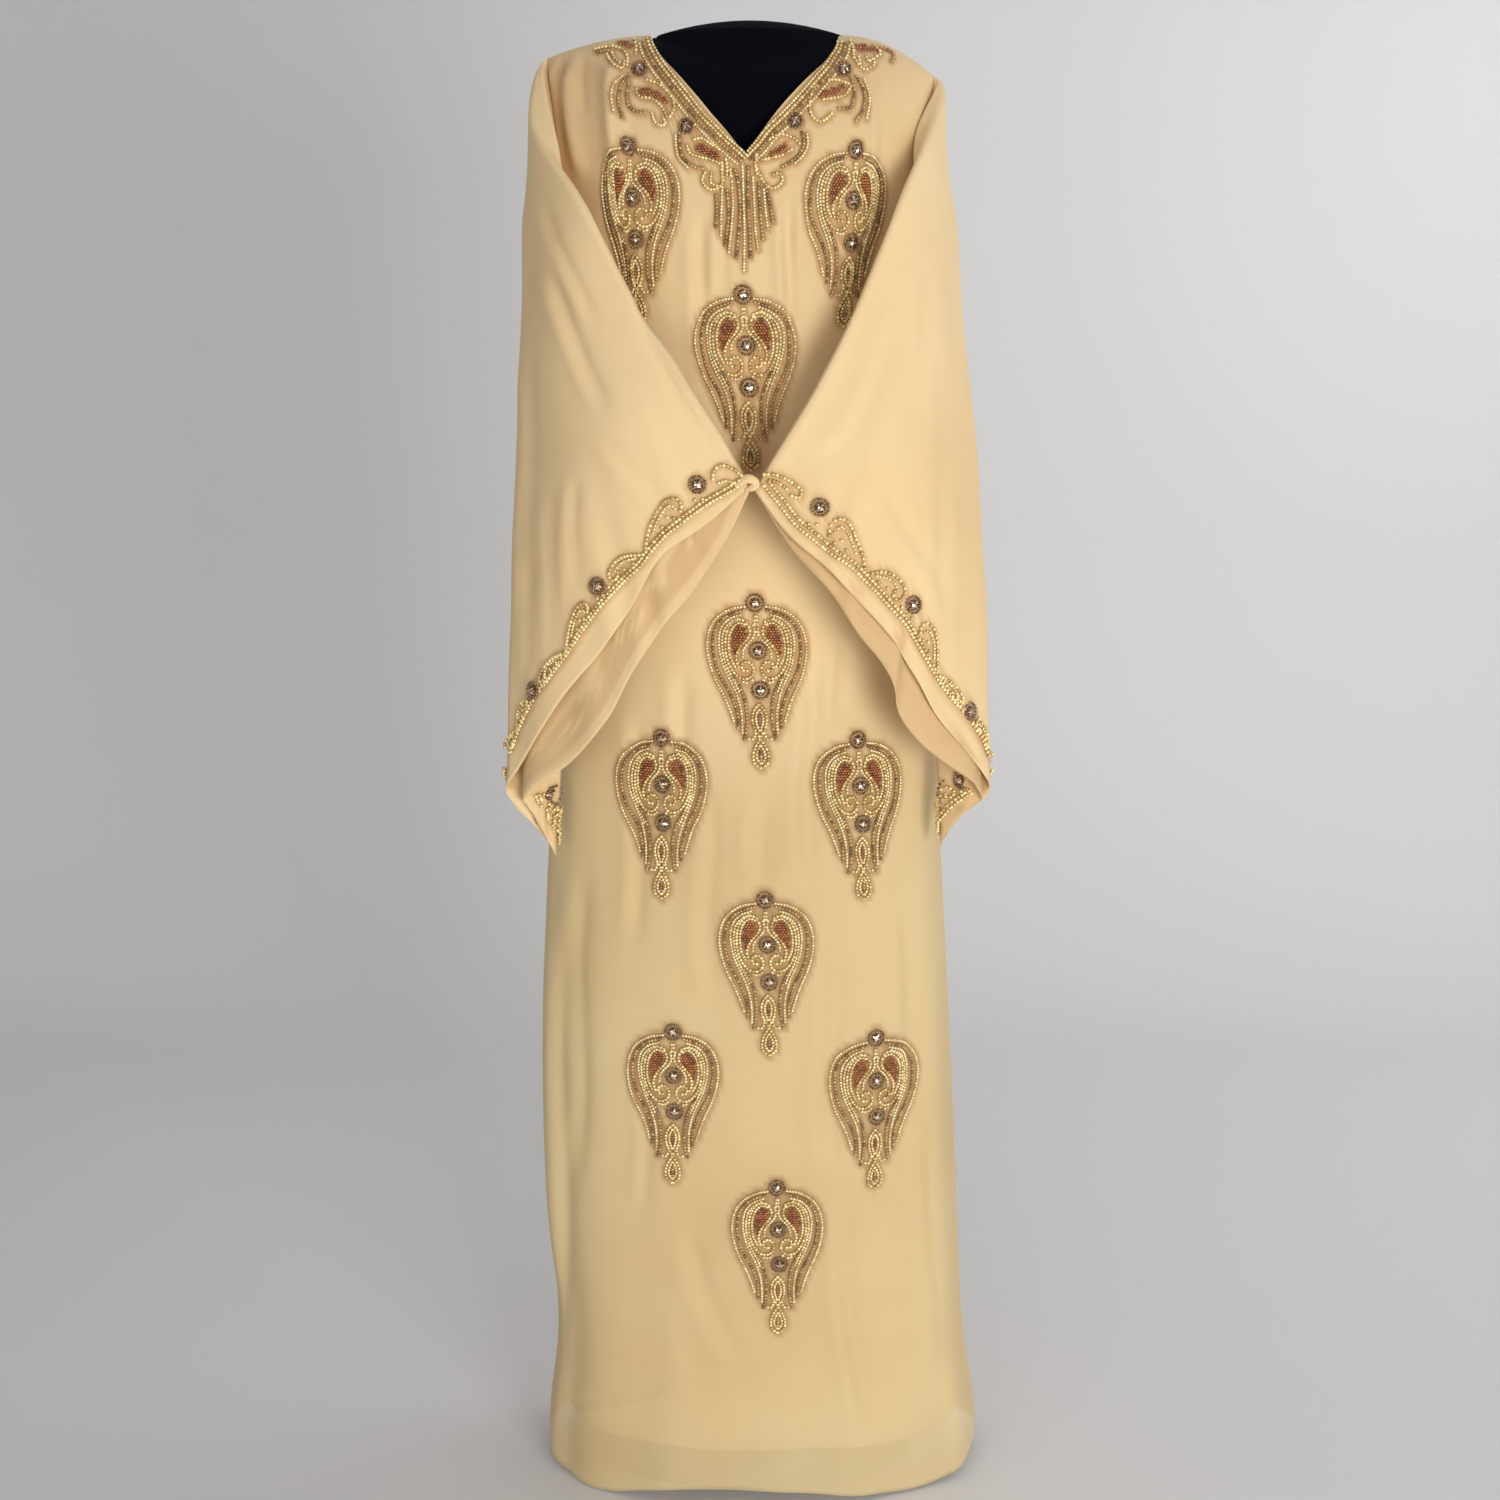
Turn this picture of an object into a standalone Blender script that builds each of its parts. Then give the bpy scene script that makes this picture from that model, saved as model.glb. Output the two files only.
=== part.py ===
"""An abaya on a limbless dress form with a pole and an oval foot.

Frame: metres, +Z up, the wearer's front faces -Y, the origin is on the floor under the pole.
The cloth is a set of thin walls whose sections come from the short tables below.
Left and right are as seen from the front: left is -X.
"""
import math
from collections import namedtuple

import bmesh
import bpy
import numpy as np

for old in list(bpy.data.objects):
    bpy.data.objects.remove(old, do_unlink=True)

# Driving sizes
CLOTH = 0.0013           # wall of sheer outer cloth with its lining
SEAM = 0.0003            # gap between two pieces that are sewn together
NEAR_SEAM, BELOW_SEAM = 0.005, 0.002   # normals are read this far from the side and shoulder seams
SHOULDER_TOP = 1.541     # shoulder seam at the neck
NECK_HALF = 0.091        # half the neck width on the shoulder seam
V_TIP = 1.4155           # lowest point of the V neck
V_HOLLOW = 0.28          # how far the V's edges bow down from a straight line
BACK_NECK_DROP = 0.035
BACK_NECK_CURVE = (2.4, 0.8)
SHOULDER_ROUND = 0.12    # how far below the seam the cloth turns down
ARMPIT = 1.270
HEM = 0.017
BOXINESS = 0.88          # 1 is an ellipse, less is squarer
ARMHOLE_BITE = 0.255     # how far the armhole cuts into a panel
ARMHOLE_ROUND = 0.8
FRONT, BACK = -1, 1
LEFT, RIGHT = -1, 1

# Grid of the panels
ARM_ROWS = 14
ARM_SPREAD = 1.8         # rows lie closer together near the shoulder seam
FRONT_ROWS, BACK_ROWS = 15, 11
LOW_SPREAD = 0.9         # and below the armpit towards the hem
NECK_COLUMNS = (0.0, 0.40, 0.70, 0.88, 0.965, 1.0)   # parts of the half neck
FRONT_COLUMNS, BACK_COLUMNS = 10, 9

Section = namedtuple("Section", "height left right front back")
BODY = (
    Section(1.545, 0.202, 0.184, 0.088, 0.080),
    Section(1.475, 0.202, 0.183, 0.094, 0.086),
    Section(1.400, 0.201, 0.179, 0.106, 0.090),
    Section(1.270, 0.192, 0.177, 0.119, 0.086),
    Section(1.100, 0.186, 0.178, 0.118, 0.080),
    Section(0.900, 0.200, 0.193, 0.119, 0.096),
    Section(0.700, 0.214, 0.206, 0.121, 0.108),
    Section(0.380, 0.2225, 0.2215, 0.120, 0.108),
    Section(0.120, 0.2165, 0.2290, 0.117, 0.108),
    Section(0.000, 0.2250, 0.2360, 0.121, 0.114),
)
SHOULDER_FALL = {LEFT: 0.021, RIGHT: 0.038}

# A fold is a soft ridge, or a trough where its depth is negative
Fold = namedtuple("Fold", "across width depth top")
FRONT_FOLDS = (
    Fold(-0.86, 0.080, 0.006, 0.90),
    Fold(-0.66, 0.080, -0.005, 0.80),
    Fold(-0.22, 0.080, 0.004, 0.62),
    Fold(0.26, 0.080, 0.004, 0.66),
    Fold(0.70, 0.080, 0.006, 0.86),
    Fold(0.86, 0.070, -0.005, 0.84),
)
BACK_FOLDS = (
    Fold(-0.84, 0.090, 0.008, 0.88),
    Fold(-0.62, 0.080, -0.006, 0.90),
    Fold(-0.40, 0.090, 0.009, 0.88),
    Fold(-0.17, 0.080, -0.006, 0.84),
    Fold(0.06, 0.090, 0.010, 0.90),
    Fold(0.29, 0.080, -0.006, 0.86),
    Fold(0.52, 0.090, 0.009, 0.84),
    Fold(0.76, 0.080, -0.005, 0.90),
)
FOLD_GROWTH = 0.35       # height over which a fold grows from nothing
FOLD_FADE = 0.04         # and the part of a panel over which it dies at the side seams
Wave = namedtuple("Wave", "height pace start")
HEM_WAVES = (Wave(0.004, 7.5, 0.6), Wave(0.003, 3.1, -0.4))
HEM_BACK = (0.8, 0.002)  # the back's hem has this part of the waves, and hangs this much higher

# Lining: it hangs inside the skirt and stops above the hem
LINING_TOP, LINING_FOOT = 0.930, 0.058
LINING_SIDES, LINING_ROWS = 36, 7
LINING_SPREAD = 1.3      # its rows lie closer together at the top
LINING_SEAT = 0.0011     # behind the outer cloth's inside, at its top
LINING_IN = 0.021        # how far inside the outer cloth it hangs at the side seams
LINING_MIDDLE = 0.6      # and the part of that at the middle of front and back
LINING_HANG = 0.25       # height over which it comes away from the outer cloth
LINING_DEPTH = 0.11      # half the depth of the oval whose normals it is set in along

# Sleeves: the tube is flat, and both layers turn back together round an outer fold.
# over is the top edge, fold the outer fold, under the underarm seam.
Sleeve = namedtuple("Sleeve", "over fold under bow arch gap swell edge over_turn under_turn")
SLEEVES = {
    LEFT: (
        Sleeve((-0.2150, -0.0581, 1.450), (-0.2265, -0.0143, 1.375), (-0.2120, 0.0023, 1.268),
               0.000, 0.000, 0.0646, 0.946, 0.0075, -41.3, -69.3),
        Sleeve((-0.1600, -0.1340, 1.365), (-0.2290, -0.0360, 1.270), (-0.2165, 0.0051, 1.2308),
               0.018, 0.000, 0.0184, 0.6, 0.0064, 29, -53),
        Sleeve((-0.1040, -0.1600, 1.266), (-0.2350, -0.0620, 1.120), (-0.2140, -0.0180, 1.080),
               0.026, 0.014, 0.0120, 0.6, 0.0051, 80, -65),
        Sleeve((-0.0560, -0.1820, 1.192), (-0.2410, -0.0880, 0.965), (-0.1930, -0.0660, 0.895),
               0.034, 0.030, 0.0110, 0.6, 0.0032, 85, -75),
        Sleeve((-0.0125, -0.1880, 1.103), (-0.2480, -0.1080, 0.803), (-0.1995, -0.0840, 0.723),
               0.032, 0.041, 0.0120, 0.6, 0.0032, 85, -85),
    ),
    RIGHT: (
        Sleeve((0.1935, -0.0320, 1.476), (0.2030, -0.0149, 1.375), (0.1980, 0.0166, 1.268),
               0.000, 0.000, 0.0535, 0.868, 0.0098, -29.9, -67.8),
        Sleeve((0.1470, -0.1273, 1.377), (0.2140, -0.0360, 1.270), (0.2040, 0.0133, 1.2444),
               0.018, 0.000, 0.0163, 0.6, 0.0060, 46.8, -40),
        Sleeve((0.1020, -0.1580, 1.275), (0.2290, -0.0620, 1.120), (0.2050, -0.0178, 1.080),
               0.026, 0.012, 0.0120, 0.6, 0.0035, 80, -65),
        Sleeve((0.0600, -0.1820, 1.192), (0.2390, -0.0880, 0.965), (0.1890, -0.0660, 0.895),
               0.034, 0.026, 0.0110, 0.6, 0.0032, 85, -75),
        Sleeve((0.0125, -0.1880, 1.103), (0.2460, -0.1080, 0.797), (0.1960, -0.0840, 0.730),
               0.032, 0.034, 0.0120, 0.6, 0.0032, 85, -85),
    ),
}
SLEEVE_PLACES = (0.0, 0.06, 0.24, 0.43, 0.62, 0.81, 1.0)
CAP_STEP = 0.006         # a sleeve leaves the armhole sideways by this much before it turns
CAP_TURN = (0.6, 0.9)    # its front leaves less sideways than this part, and forward by this part
CAP_ROUND = 0.0030       # and its two layers stand at least this far from the seams' plane there
EDGE_RADIUS = 0.0032     # round of the flattened tube at its two edges
REAR_DROP = 0.042        # how much lower the rear layer's cuff hangs
SLEEVE_CUTS = (0.0, 0.05, 0.13, 0.21, 0.29, 0.38, 0.47, 0.56, 0.65, 0.74, 0.83, 0.92, 1.0)

# A sleeve's layer runs from its upper edge, round the fold, to the underarm
Knot = namedtuple("Knot", "place towards bow arch")
LAYER_UPPER = (
    Knot(0.33, 0.42, 1.0, 1.0),      # part of the layer, of the way to the fold, of its bow and arch
    Knot(0.60, 0.80, 0.7, 0.25),
)
LAYER_FOLD, LAYER_BACK = 0.69, 0.84
BACK_SHIFT = (0.02, 0.0012)          # how far in and back the layer lies between fold and underarm
LAYER_STEPS = ARM_ROWS - 1
LAYER_ENDS = 0.012                   # a layer's first and last points are this far from the edges
DROP_ENDS = 0.66                     # the rear cuff's drop ends here along the layer

# Beaded drop motif: depth below its top stone, and half its width there
Outline = namedtuple("Outline", "down half")
MOTIF = (
    Outline(-0.011, 0.007),
    Outline(0.000, 0.020),
    Outline(0.011, 0.034),
    Outline(0.030, 0.047),
    Outline(0.0495, 0.051),
    Outline(0.070, 0.048),
    Outline(0.090, 0.041),
    Outline(0.110, 0.034),
    Outline(0.128, 0.027),
    Outline(0.141, 0.015),
    Outline(0.156, 0.008),
    Outline(0.171, 0.004),
)
MOTIF_STONES = (0.0, 0.0495, 0.090)
Motif = namedtuple("Motif", "name x top lean")
MOTIFS = (
    Motif("motif_chest_left", -0.1165, 1.420, 0.07),
    Motif("motif_chest_right", 0.1022, 1.418, -0.05),
    Motif("motif_centre_1", -0.0065, 1.283, 0.03),
    Motif("motif_centre_2", 0.0049, 0.9885, 0.05),
    Motif("motif_centre_3", 0.0153, 0.685, 0.05),
    Motif("motif_centre_4", 0.0285, 0.3696, 0.03),
    Motif("motif_hip_left", -0.0883, 0.852, -0.01),
    Motif("motif_hip_right", 0.1084, 0.850, 0.06),
    Motif("motif_knee_left", -0.0798, 0.542, 0.00),
    Motif("motif_knee_right", 0.1306, 0.536, 0.01),
)
TRIM_LIFT = 0.0011       # beadwork stands this far off the cloth's true surface
TRIM_THICK = 0.0014
STONE_RISE = 0.0045
STONE_HALF = 0.0105

# Neck border: place down the V, its width there, and how far it turns down from level
Border = namedtuple("Border", "place width turn stone")
NECK_BORDER = (
    Border(0.00, 0.056, 16, False),
    Border(0.12, 0.042, 25, True),
    Border(0.26, 0.052, 34, False),
    Border(0.40, 0.046, 37, False),
    Border(0.54, 0.026, 37, True),
    Border(0.68, 0.042, 37, False),
    Border(0.82, 0.044, 38, False),
    Border(0.92, 0.030, 44, False),
    Border(1.00, 0.014, 50, False),
)
BORDER_PARTS = (0.0, 0.22, 0.45, 0.72, 1.0)
NECK_LIFT = 0.0013
BORDER_EDGE = 0.0015     # the border starts this far from the neck's edge
BORDER_BELOW = 0.010     # and this far below the shoulder seam

# Rows of beads that hang under the V, leaning a little to the left
FRINGE = (
    Outline(0.018, 0.026),
    Outline(0.032, 0.031),
    Outline(0.058, 0.032),
    Outline(0.078, 0.022),
    Outline(0.094, 0.010),
    Outline(0.108, 0.003),
)
FRINGE_PARTS = (-1.0, -0.6, -0.2, 0.2, 0.6, 1.0)
FRINGE_LEAN = -0.01

# Cuff border: lines at these distances from the cuff's edge, and stones along the front layer
CUFF_LINES = (0.013, 0.027, 0.041)
CUFF_STONES = (4, 7, 9)
CUFF_LIFT = 0.0012
CUFF_STEP = 0.02         # part of the sleeve over which its slope is read

# Tack that joins the two cuffs at centre front
TACK_CENTRE = (0.0, -0.1855, 1.101)
TACK_HALF = (0.0133, 0.0095, 0.0080)
TACK_SIDES, TACK_RINGS = 16, 8

# Dress form, pole and foot
Round = namedtuple("Round", "height half front back")
FORM = (
    Round(0.720, 0.135, 0.070, 0.076),
    Round(0.760, 0.152, 0.084, 0.088),
    Round(0.860, 0.162, 0.092, 0.088),
    Round(0.980, 0.148, 0.088, 0.074),
    Round(1.090, 0.132, 0.084, 0.064),
    Round(1.180, 0.146, 0.096, 0.070),
    Round(1.280, 0.168, 0.112, 0.078),
)
FORM_CLEAR = 0.0030      # form to the cloth's outer surface at the shoulders
FORM_CORNER = 0.010      # how much the form's shoulder ends round down
NECK_STUMP = (0.084, 0.047)
NECK_RIM = 1.547
NECK_DOME = 1.5545
FORM_SIDES = 28
FORM_BOXINESS = 0.92
FORM_SEAT = 0.0011       # the form's shoulders lie this far below the cloth's inside
SHOULDER_RINGS = (0.0, 0.05, 0.18, 0.42, 0.70, 1.0)
NECK_RINGS = ((1.00, NECK_RIM - 0.004), (0.93, NECK_RIM), (0.60, NECK_DOME - 0.004), (0.20, NECK_DOME))
POLE_RADIUS = 0.0125
COLLAR_RADIUS, COLLAR_EDGE, COLLAR_TOP = 0.032, 0.006, 0.028
POLE_SIDES = 20
FOOT_HALF = (0.185, 0.092)
FOOT_THICK = 0.010
FOOT_EDGE = (0.003, 0.002)   # how far the foot's rim is cut back, and from how far down
FOOT_SIDES = 40


def smooth(xs, values, x):
    """A smooth curve through the values, read at x."""
    xs = np.asarray(xs, float)
    values = np.asarray(values, float)
    slopes = np.gradient(values, xs, axis=0)
    x = min(max(x, xs[0]), xs[-1])
    i = min(int(np.searchsorted(xs, x, side="right")) - 1, len(xs) - 2)
    width = xs[i + 1] - xs[i]
    f = (x - xs[i]) / width
    rise = (3 - 2 * f) * f * f
    start = f * (1 - f) ** 2 * width
    end = -f * f * (1 - f) * width
    return values[i] * (1 - rise) + values[i + 1] * rise + slopes[i] * start + slopes[i + 1] * end


BODY_UP = sorted(BODY)
BODY_HEIGHTS = [row.height for row in BODY_UP]


def body_size(column, z):
    """One column of the body table at height z."""
    return float(smooth(BODY_HEIGHTS, [getattr(row, column) for row in BODY_UP], z))


def half_width(x_sign, z):
    return body_size("left" if x_sign < 0 else "right", z)


def shoulder_height(x):
    """Height of the shoulder seam at x, level across the neck."""
    side = LEFT if x < 0 else RIGHT
    reach = half_width(side, SHOULDER_TOP) - NECK_HALF
    out = max(abs(x) - NECK_HALF, 0.0) / reach
    return SHOULDER_TOP - SHOULDER_FALL[side] * out ** 2


def turn_down(x, z):
    """0 on the shoulder seam, 1 where the cloth has turned down to its full depth."""
    drop = min(max(shoulder_height(x) - z, 0.0) / SHOULDER_ROUND, 1.0)
    return math.sqrt(1 - (1 - drop) ** 2)


def fold_lift(folds, across, z):
    """How far the folds lift the surface at a place across the panel."""
    lift = 0.0
    for fold in folds:
        grown = min(max((fold.top - z) / FOLD_GROWTH, 0.0), 1.0)
        grown = grown * grown * (3 - 2 * grown)
        lift += fold.depth * grown * math.exp(-((across - fold.across) / fold.width) ** 2)
    return lift * min(1.0, (1 - abs(across)) / FOLD_FADE)


def body_point(face, across, z, folded=True):
    """A point of the body's outer surface; across runs from -1 to 1 between the side seams."""
    angle = across * math.pi / 2
    x = math.copysign(abs(math.sin(angle)) ** BOXINESS, across) * half_width(across, z)
    depth = body_size("front" if face == FRONT else "back", z)
    away = depth * abs(math.cos(angle)) ** BOXINESS * turn_down(x, z)
    if folded:
        away += fold_lift(FRONT_FOLDS if face == FRONT else BACK_FOLDS, across, z)
    return np.array((x, face * away, z))


def across_at(x, z):
    """The place across the body whose x is given."""
    part = min(abs(x) / half_width(x, z), 1.0)
    return math.copysign(math.asin(part ** (1 / BOXINESS)) * 2 / math.pi, x)


def normal_at(point_at, a, b, step_a, step_b):
    """Unit normal of a surface given as a function of two values."""
    along_a = point_at(a + step_a, b) - point_at(a - step_a, b)
    along_b = point_at(a, b + step_b) - point_at(a, b - step_b)
    normal = np.cross(along_a, along_b)
    return normal / np.linalg.norm(normal)


def body_normal(face, across, z):
    """Outward normal of the body's surface, just inside its seams."""
    across = min(max(across, -1 + NEAR_SEAM), 1 - NEAR_SEAM)
    top = shoulder_height(body_point(face, across, z)[0])
    z = min(z, top - BELOW_SEAM)
    normal = normal_at(lambda a, b: body_point(face, a, b), across, z, BELOW_SEAM, BELOW_SEAM / 2)
    centre = np.array((0.0, 0.0, z - 10 * BELOW_SEAM))
    away = body_point(face, across, z) - centre
    return normal if normal @ away > 0 else -normal


def armhole_edge(z, x_sign):
    """How far across a panel reaches at height z; 1 is the side seam."""
    corner = shoulder_height(x_sign * half_width(x_sign, SHOULDER_TOP))
    down = min(max((corner - z) / (corner - ARMPIT), 0.0), 1.0)
    return 1 - ARMHOLE_BITE * math.sin(math.pi * down) ** ARMHOLE_ROUND


def neck_edge(face, x):
    """Height of the neck edge at x, or of the shoulder seam beside it."""
    if abs(x) >= NECK_HALF:
        return shoulder_height(x)
    part = abs(x) / NECK_HALF
    if face == FRONT:
        return V_TIP + (SHOULDER_TOP - V_TIP) * (part - V_HOLLOW * part * (1 - part))
    square, soft = BACK_NECK_CURVE
    return SHOULDER_TOP - BACK_NECK_DROP * (1 - part ** square) ** soft


def hem_height(face, across):
    """The hem rises and falls a little, as it hangs."""
    wave = sum(row.height * math.sin(row.pace * across + row.start) for row in HEM_WAVES)
    return HEM + (wave if face == FRONT else HEM_BACK[0] * wave + HEM_BACK[1])


def panel_columns(side_columns):
    """Places across a panel: the neck points, and more to the side seams."""
    columns = []
    for side in (LEFT, RIGHT):
        neck = abs(across_at(side * NECK_HALF, SHOULDER_TOP))
        inner = [across_at(side * NECK_HALF * part, SHOULDER_TOP) for part in NECK_COLUMNS]
        outer = [side * (neck + (1 - neck) * i / side_columns) for i in range(1, side_columns + 1)]
        columns += inner + outer
    return sorted(set(columns))


def panel_grid(face, side_columns, low_rows):
    """Rows of (across, z) for a panel from its neck and shoulders to its hem."""
    rows = []
    columns = panel_columns(side_columns)
    for j in range(ARM_ROWS + low_rows + 1):
        row = []
        for across in columns:
            x = body_point(face, across, SHOULDER_TOP)[0]
            top = neck_edge(face, x)
            if j <= ARM_ROWS:
                z = top + (ARMPIT - top) * (j / ARM_ROWS) ** ARM_SPREAD
            else:
                part = ((j - ARM_ROWS) / low_rows) ** LOW_SPREAD
                z = ARMPIT + (hem_height(face, across) - ARMPIT) * part
            side = LEFT if across < 0 else RIGHT
            row.append((across * armhole_edge(z, side), z))
        rows.append(row)
    return rows


def material(name, colour, roughness, metallic=0.0):
    made = bpy.data.materials.new(name)
    made.use_nodes = True
    shader = made.node_tree.nodes["Principled BSDF"]
    shader.inputs["Base Color"].default_value = (*colour, 1)
    shader.inputs["Roughness"].default_value = roughness
    shader.inputs["Metallic"].default_value = metallic
    return made


CHIFFON = material("champagne_chiffon", (0.78, 0.57, 0.33), 0.7)
LINING = material("lining_satin", (0.74, 0.52, 0.30), 0.6)
BEADWORK = material("gold_beadwork", (0.50, 0.31, 0.12), 0.35, 0.8)
FORM_CLOTH = material("black_form_jersey", (0.01, 0.011, 0.02), 0.9)
STEEL = material("black_steel", (0.02, 0.02, 0.022), 0.45, 0.6)


def solid(name, points, faces, finish):
    """One closed body from points and faces, its faces turned outwards."""
    mesh = bpy.data.meshes.new(name)
    shape = bmesh.new()
    corners = [shape.verts.new(point) for point in points]
    for face in faces:
        shape.faces.new([corners[i] for i in face])
    bmesh.ops.triangulate(shape, faces=shape.faces[:])
    bmesh.ops.recalc_face_normals(shape, faces=shape.faces[:])
    shape.to_mesh(mesh)
    shape.free()
    mesh.shade_smooth()
    mesh.set_sharp_from_angle(angle=math.radians(40))
    mesh.materials.append(finish)
    made = bpy.data.objects.new(name, mesh)
    bpy.context.collection.objects.link(made)
    return made


def wall(name, outer, inner, finish, ring=False):
    """A closed wall between two grids; a ring joins each row's end to its start."""
    rows, columns = len(outer), len(outer[0])
    points = [point for row in outer for point in row] + [point for row in inner for point in row]
    shift = rows * columns
    spans = columns if ring else columns - 1
    faces = []
    for j in range(rows - 1):
        for i in range(spans):
            a, b = j * columns + i, j * columns + (i + 1) % columns
            c, d = b + columns, a + columns
            faces += [(a, b, c, d), (shift + d, shift + c, shift + b, shift + a)]
    for j in (0, rows - 1):
        for i in range(spans):
            a, b = j * columns + i, j * columns + (i + 1) % columns
            faces.append((a, b, shift + b, shift + a))
    if not ring:
        for j in range(rows - 1):
            for i in (0, columns - 1):
                a, d = j * columns + i, (j + 1) * columns + i
                faces.append((a, d, shift + d, shift + a))
    return solid(name, points, faces, finish)


def seamed(face, point):
    """Keep a panel on its own side of the seams."""
    point = np.array(point)
    point[1] = face * max(face * point[1], 0.0) + face * SEAM / 2
    return point


def make_panel(name, face, side_columns, low_rows):
    outer, inner = [], []
    for row in panel_grid(face, side_columns, low_rows):
        points = [body_point(face, across, z) for across, z in row]
        normals = [body_normal(face, across, z) for across, z in row]
        outer.append([seamed(face, p) for p in points])
        inner.append([seamed(face, p - n * CLOTH) for p, n in zip(points, normals)])
    return wall(name, outer, inner, CHIFFON)


def lining_point(turn, z, depth):
    """A point of the lining; turn runs from 0 to 1 all round from the left side seam."""
    face = FRONT if turn < 0.5 else BACK
    across = -1 + 4 * turn if turn < 0.5 else 3 - 4 * turn
    point = body_point(face, across, z, folded=False)
    pull = np.array((point[0] / half_width(across, z) ** 2, point[1] / LINING_DEPTH ** 2, 0.0))
    aside = LINING_MIDDLE + (1 - LINING_MIDDLE) * abs(across) ** 2
    hang = min(1.0, (LINING_TOP - z) / LINING_HANG) * LINING_IN * aside
    return point - pull / np.linalg.norm(pull) * (CLOTH + LINING_SEAT + hang + depth)


def make_lining():
    heights = [LINING_TOP + (LINING_FOOT - LINING_TOP) * (j / LINING_ROWS) ** LINING_SPREAD
               for j in range(LINING_ROWS + 1)]
    turns = [i / LINING_SIDES for i in range(LINING_SIDES)]
    outer = [[lining_point(turn, z, 0.0) for turn in turns] for z in heights]
    inner = [[lining_point(turn, z, CLOTH) for turn in turns] for z in heights]
    return wall("lining_skirt", outer, inner, LINING, ring=True)


def layer_curve(row, place):
    """A point of a section's front layer, from its upper edge round the fold to the underarm."""
    over, fold, under = (np.array(p) for p in (row.over, row.fold, row.under))
    places, knots = [0.0], [over]
    for knot in LAYER_UPPER:
        away = np.array((0.0, -row.bow * knot.bow, row.arch * knot.arch))
        places.append(knot.place)
        knots.append(over + (fold - over) * knot.towards + away)
    back = np.array((BACK_SHIFT[0] * (over[0] - fold[0]), BACK_SHIFT[1], 0.0))
    places += [LAYER_FOLD, LAYER_BACK, 1.0]
    knots += [fold, (fold + under) / 2 + back, under]
    return smooth(places, knots, place)


def section_ring(side, row, last):
    """The closed ring of one sleeve section."""
    front, rear = [], []
    for i in range(LAYER_STEPS):
        place = LAYER_ENDS + (1 - 2 * LAYER_ENDS) * i / (LAYER_STEPS - 1)
        turn = math.radians(row.over_turn + (row.under_turn - row.over_turn) * place)
        across = np.array((-side * math.cos(turn), math.sin(turn), 0.0))
        ends_gap = 2 * (EDGE_RADIUS * (1 - place) + row.edge * place)
        opened = ends_gap + (row.gap - ends_gap) * math.sin(math.pi * place) ** row.swell
        point = layer_curve(row, place)
        front.append(point)
        drop = REAR_DROP * math.sin(math.pi * min(place / DROP_ENDS, 1.0)) ** 0.9 if last else 0.0
        rear.append(point + across * opened - np.array((0.0, 0.0, drop)))
    ends = []
    for end, inside, radius in ((0, 1, EDGE_RADIUS), (-1, -2, row.edge)):
        middle = (front[end] + rear[end]) / 2
        out = middle - (front[inside] + rear[inside]) / 2
        ends.append(middle + out / np.linalg.norm(out) * radius)
    return np.array([ends[0]] + front + [ends[1]] + rear[::-1])


def armhole_ring(side):
    """The armhole's edge, just outside the panels, and the side each of its points is on."""
    corner = shoulder_height(side * half_width(side, SHOULDER_TOP))
    heights = [corner + (ARMPIT - corner) * (k / ARM_ROWS) ** ARM_SPREAD
               for k in range(ARM_ROWS + 1)]
    ring, faces = [], []
    for face, order in ((BACK, heights), (FRONT, heights[-2:0:-1])):
        for z in order:
            across = side * armhole_edge(z, side)
            point = body_point(face, across, z)
            ahead = point - body_point(face, across - side * 0.01, z)
            if z in (corner, ARMPIT):
                ahead = np.array((side, 0.0, 0.0))
                faces.append(0)
            else:
                point = seamed(face, point)
                faces.append(face)
            ring.append(point + ahead / np.linalg.norm(ahead) * SEAM)
    return np.array(ring), np.array(faces)


def insides(rings, faces):
    """The inner wall of a tube of rings: each point moved in along the mean of its faces' normals."""
    rings = np.array(rings)
    after = np.roll(rings, -1, axis=1)
    normals = np.zeros_like(rings)
    across = np.cross(after[1:] - rings[:-1], rings[1:] - after[:-1])
    for part in (across, np.roll(across, 1, axis=1)):
        normals[:-1] += part
        normals[1:] += part
    inner = rings + normals / np.linalg.norm(normals, axis=2, keepdims=True) * CLOTH
    for ring in inner[:2]:
        ring[:, 1] = np.where(faces == 0, ring[:, 1],
                              faces * np.maximum(faces * ring[:, 1], SEAM / 2))
    return inner


def sleeve_keys(side):
    """The rings that shape a sleeve: armhole, cap and the sections of its table."""
    rows = SLEEVES[side]
    start, faces = armhole_ring(side)
    cap = start.copy()
    for i, face in enumerate(faces):
        turn = math.sin(math.pi * (i - ARM_ROWS) / ARM_ROWS) ** 0.5 if face == FRONT else 0.0
        cap[i] += np.array((side * (1 - CAP_TURN[0] * turn), -CAP_TURN[1] * turn, 0.0)) * CAP_STEP
        if face:
            cap[i, 1] = face * max(face * cap[i, 1], CAP_ROUND)
    return [start, cap] + [section_ring(side, row, row is rows[-1]) for row in rows]


def make_sleeve(name, side):
    keys = sleeve_keys(side)
    rings = [smooth(SLEEVE_PLACES, keys, cut) for cut in SLEEVE_CUTS]
    faces = armhole_ring(side)[1]
    if side == LEFT:
        inner = insides([ring[::-1] for ring in rings], faces[::-1])[:, ::-1]
    else:
        inner = insides(rings, faces)
    return wall(name, rings, inner, CHIFFON, ring=True)


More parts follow.
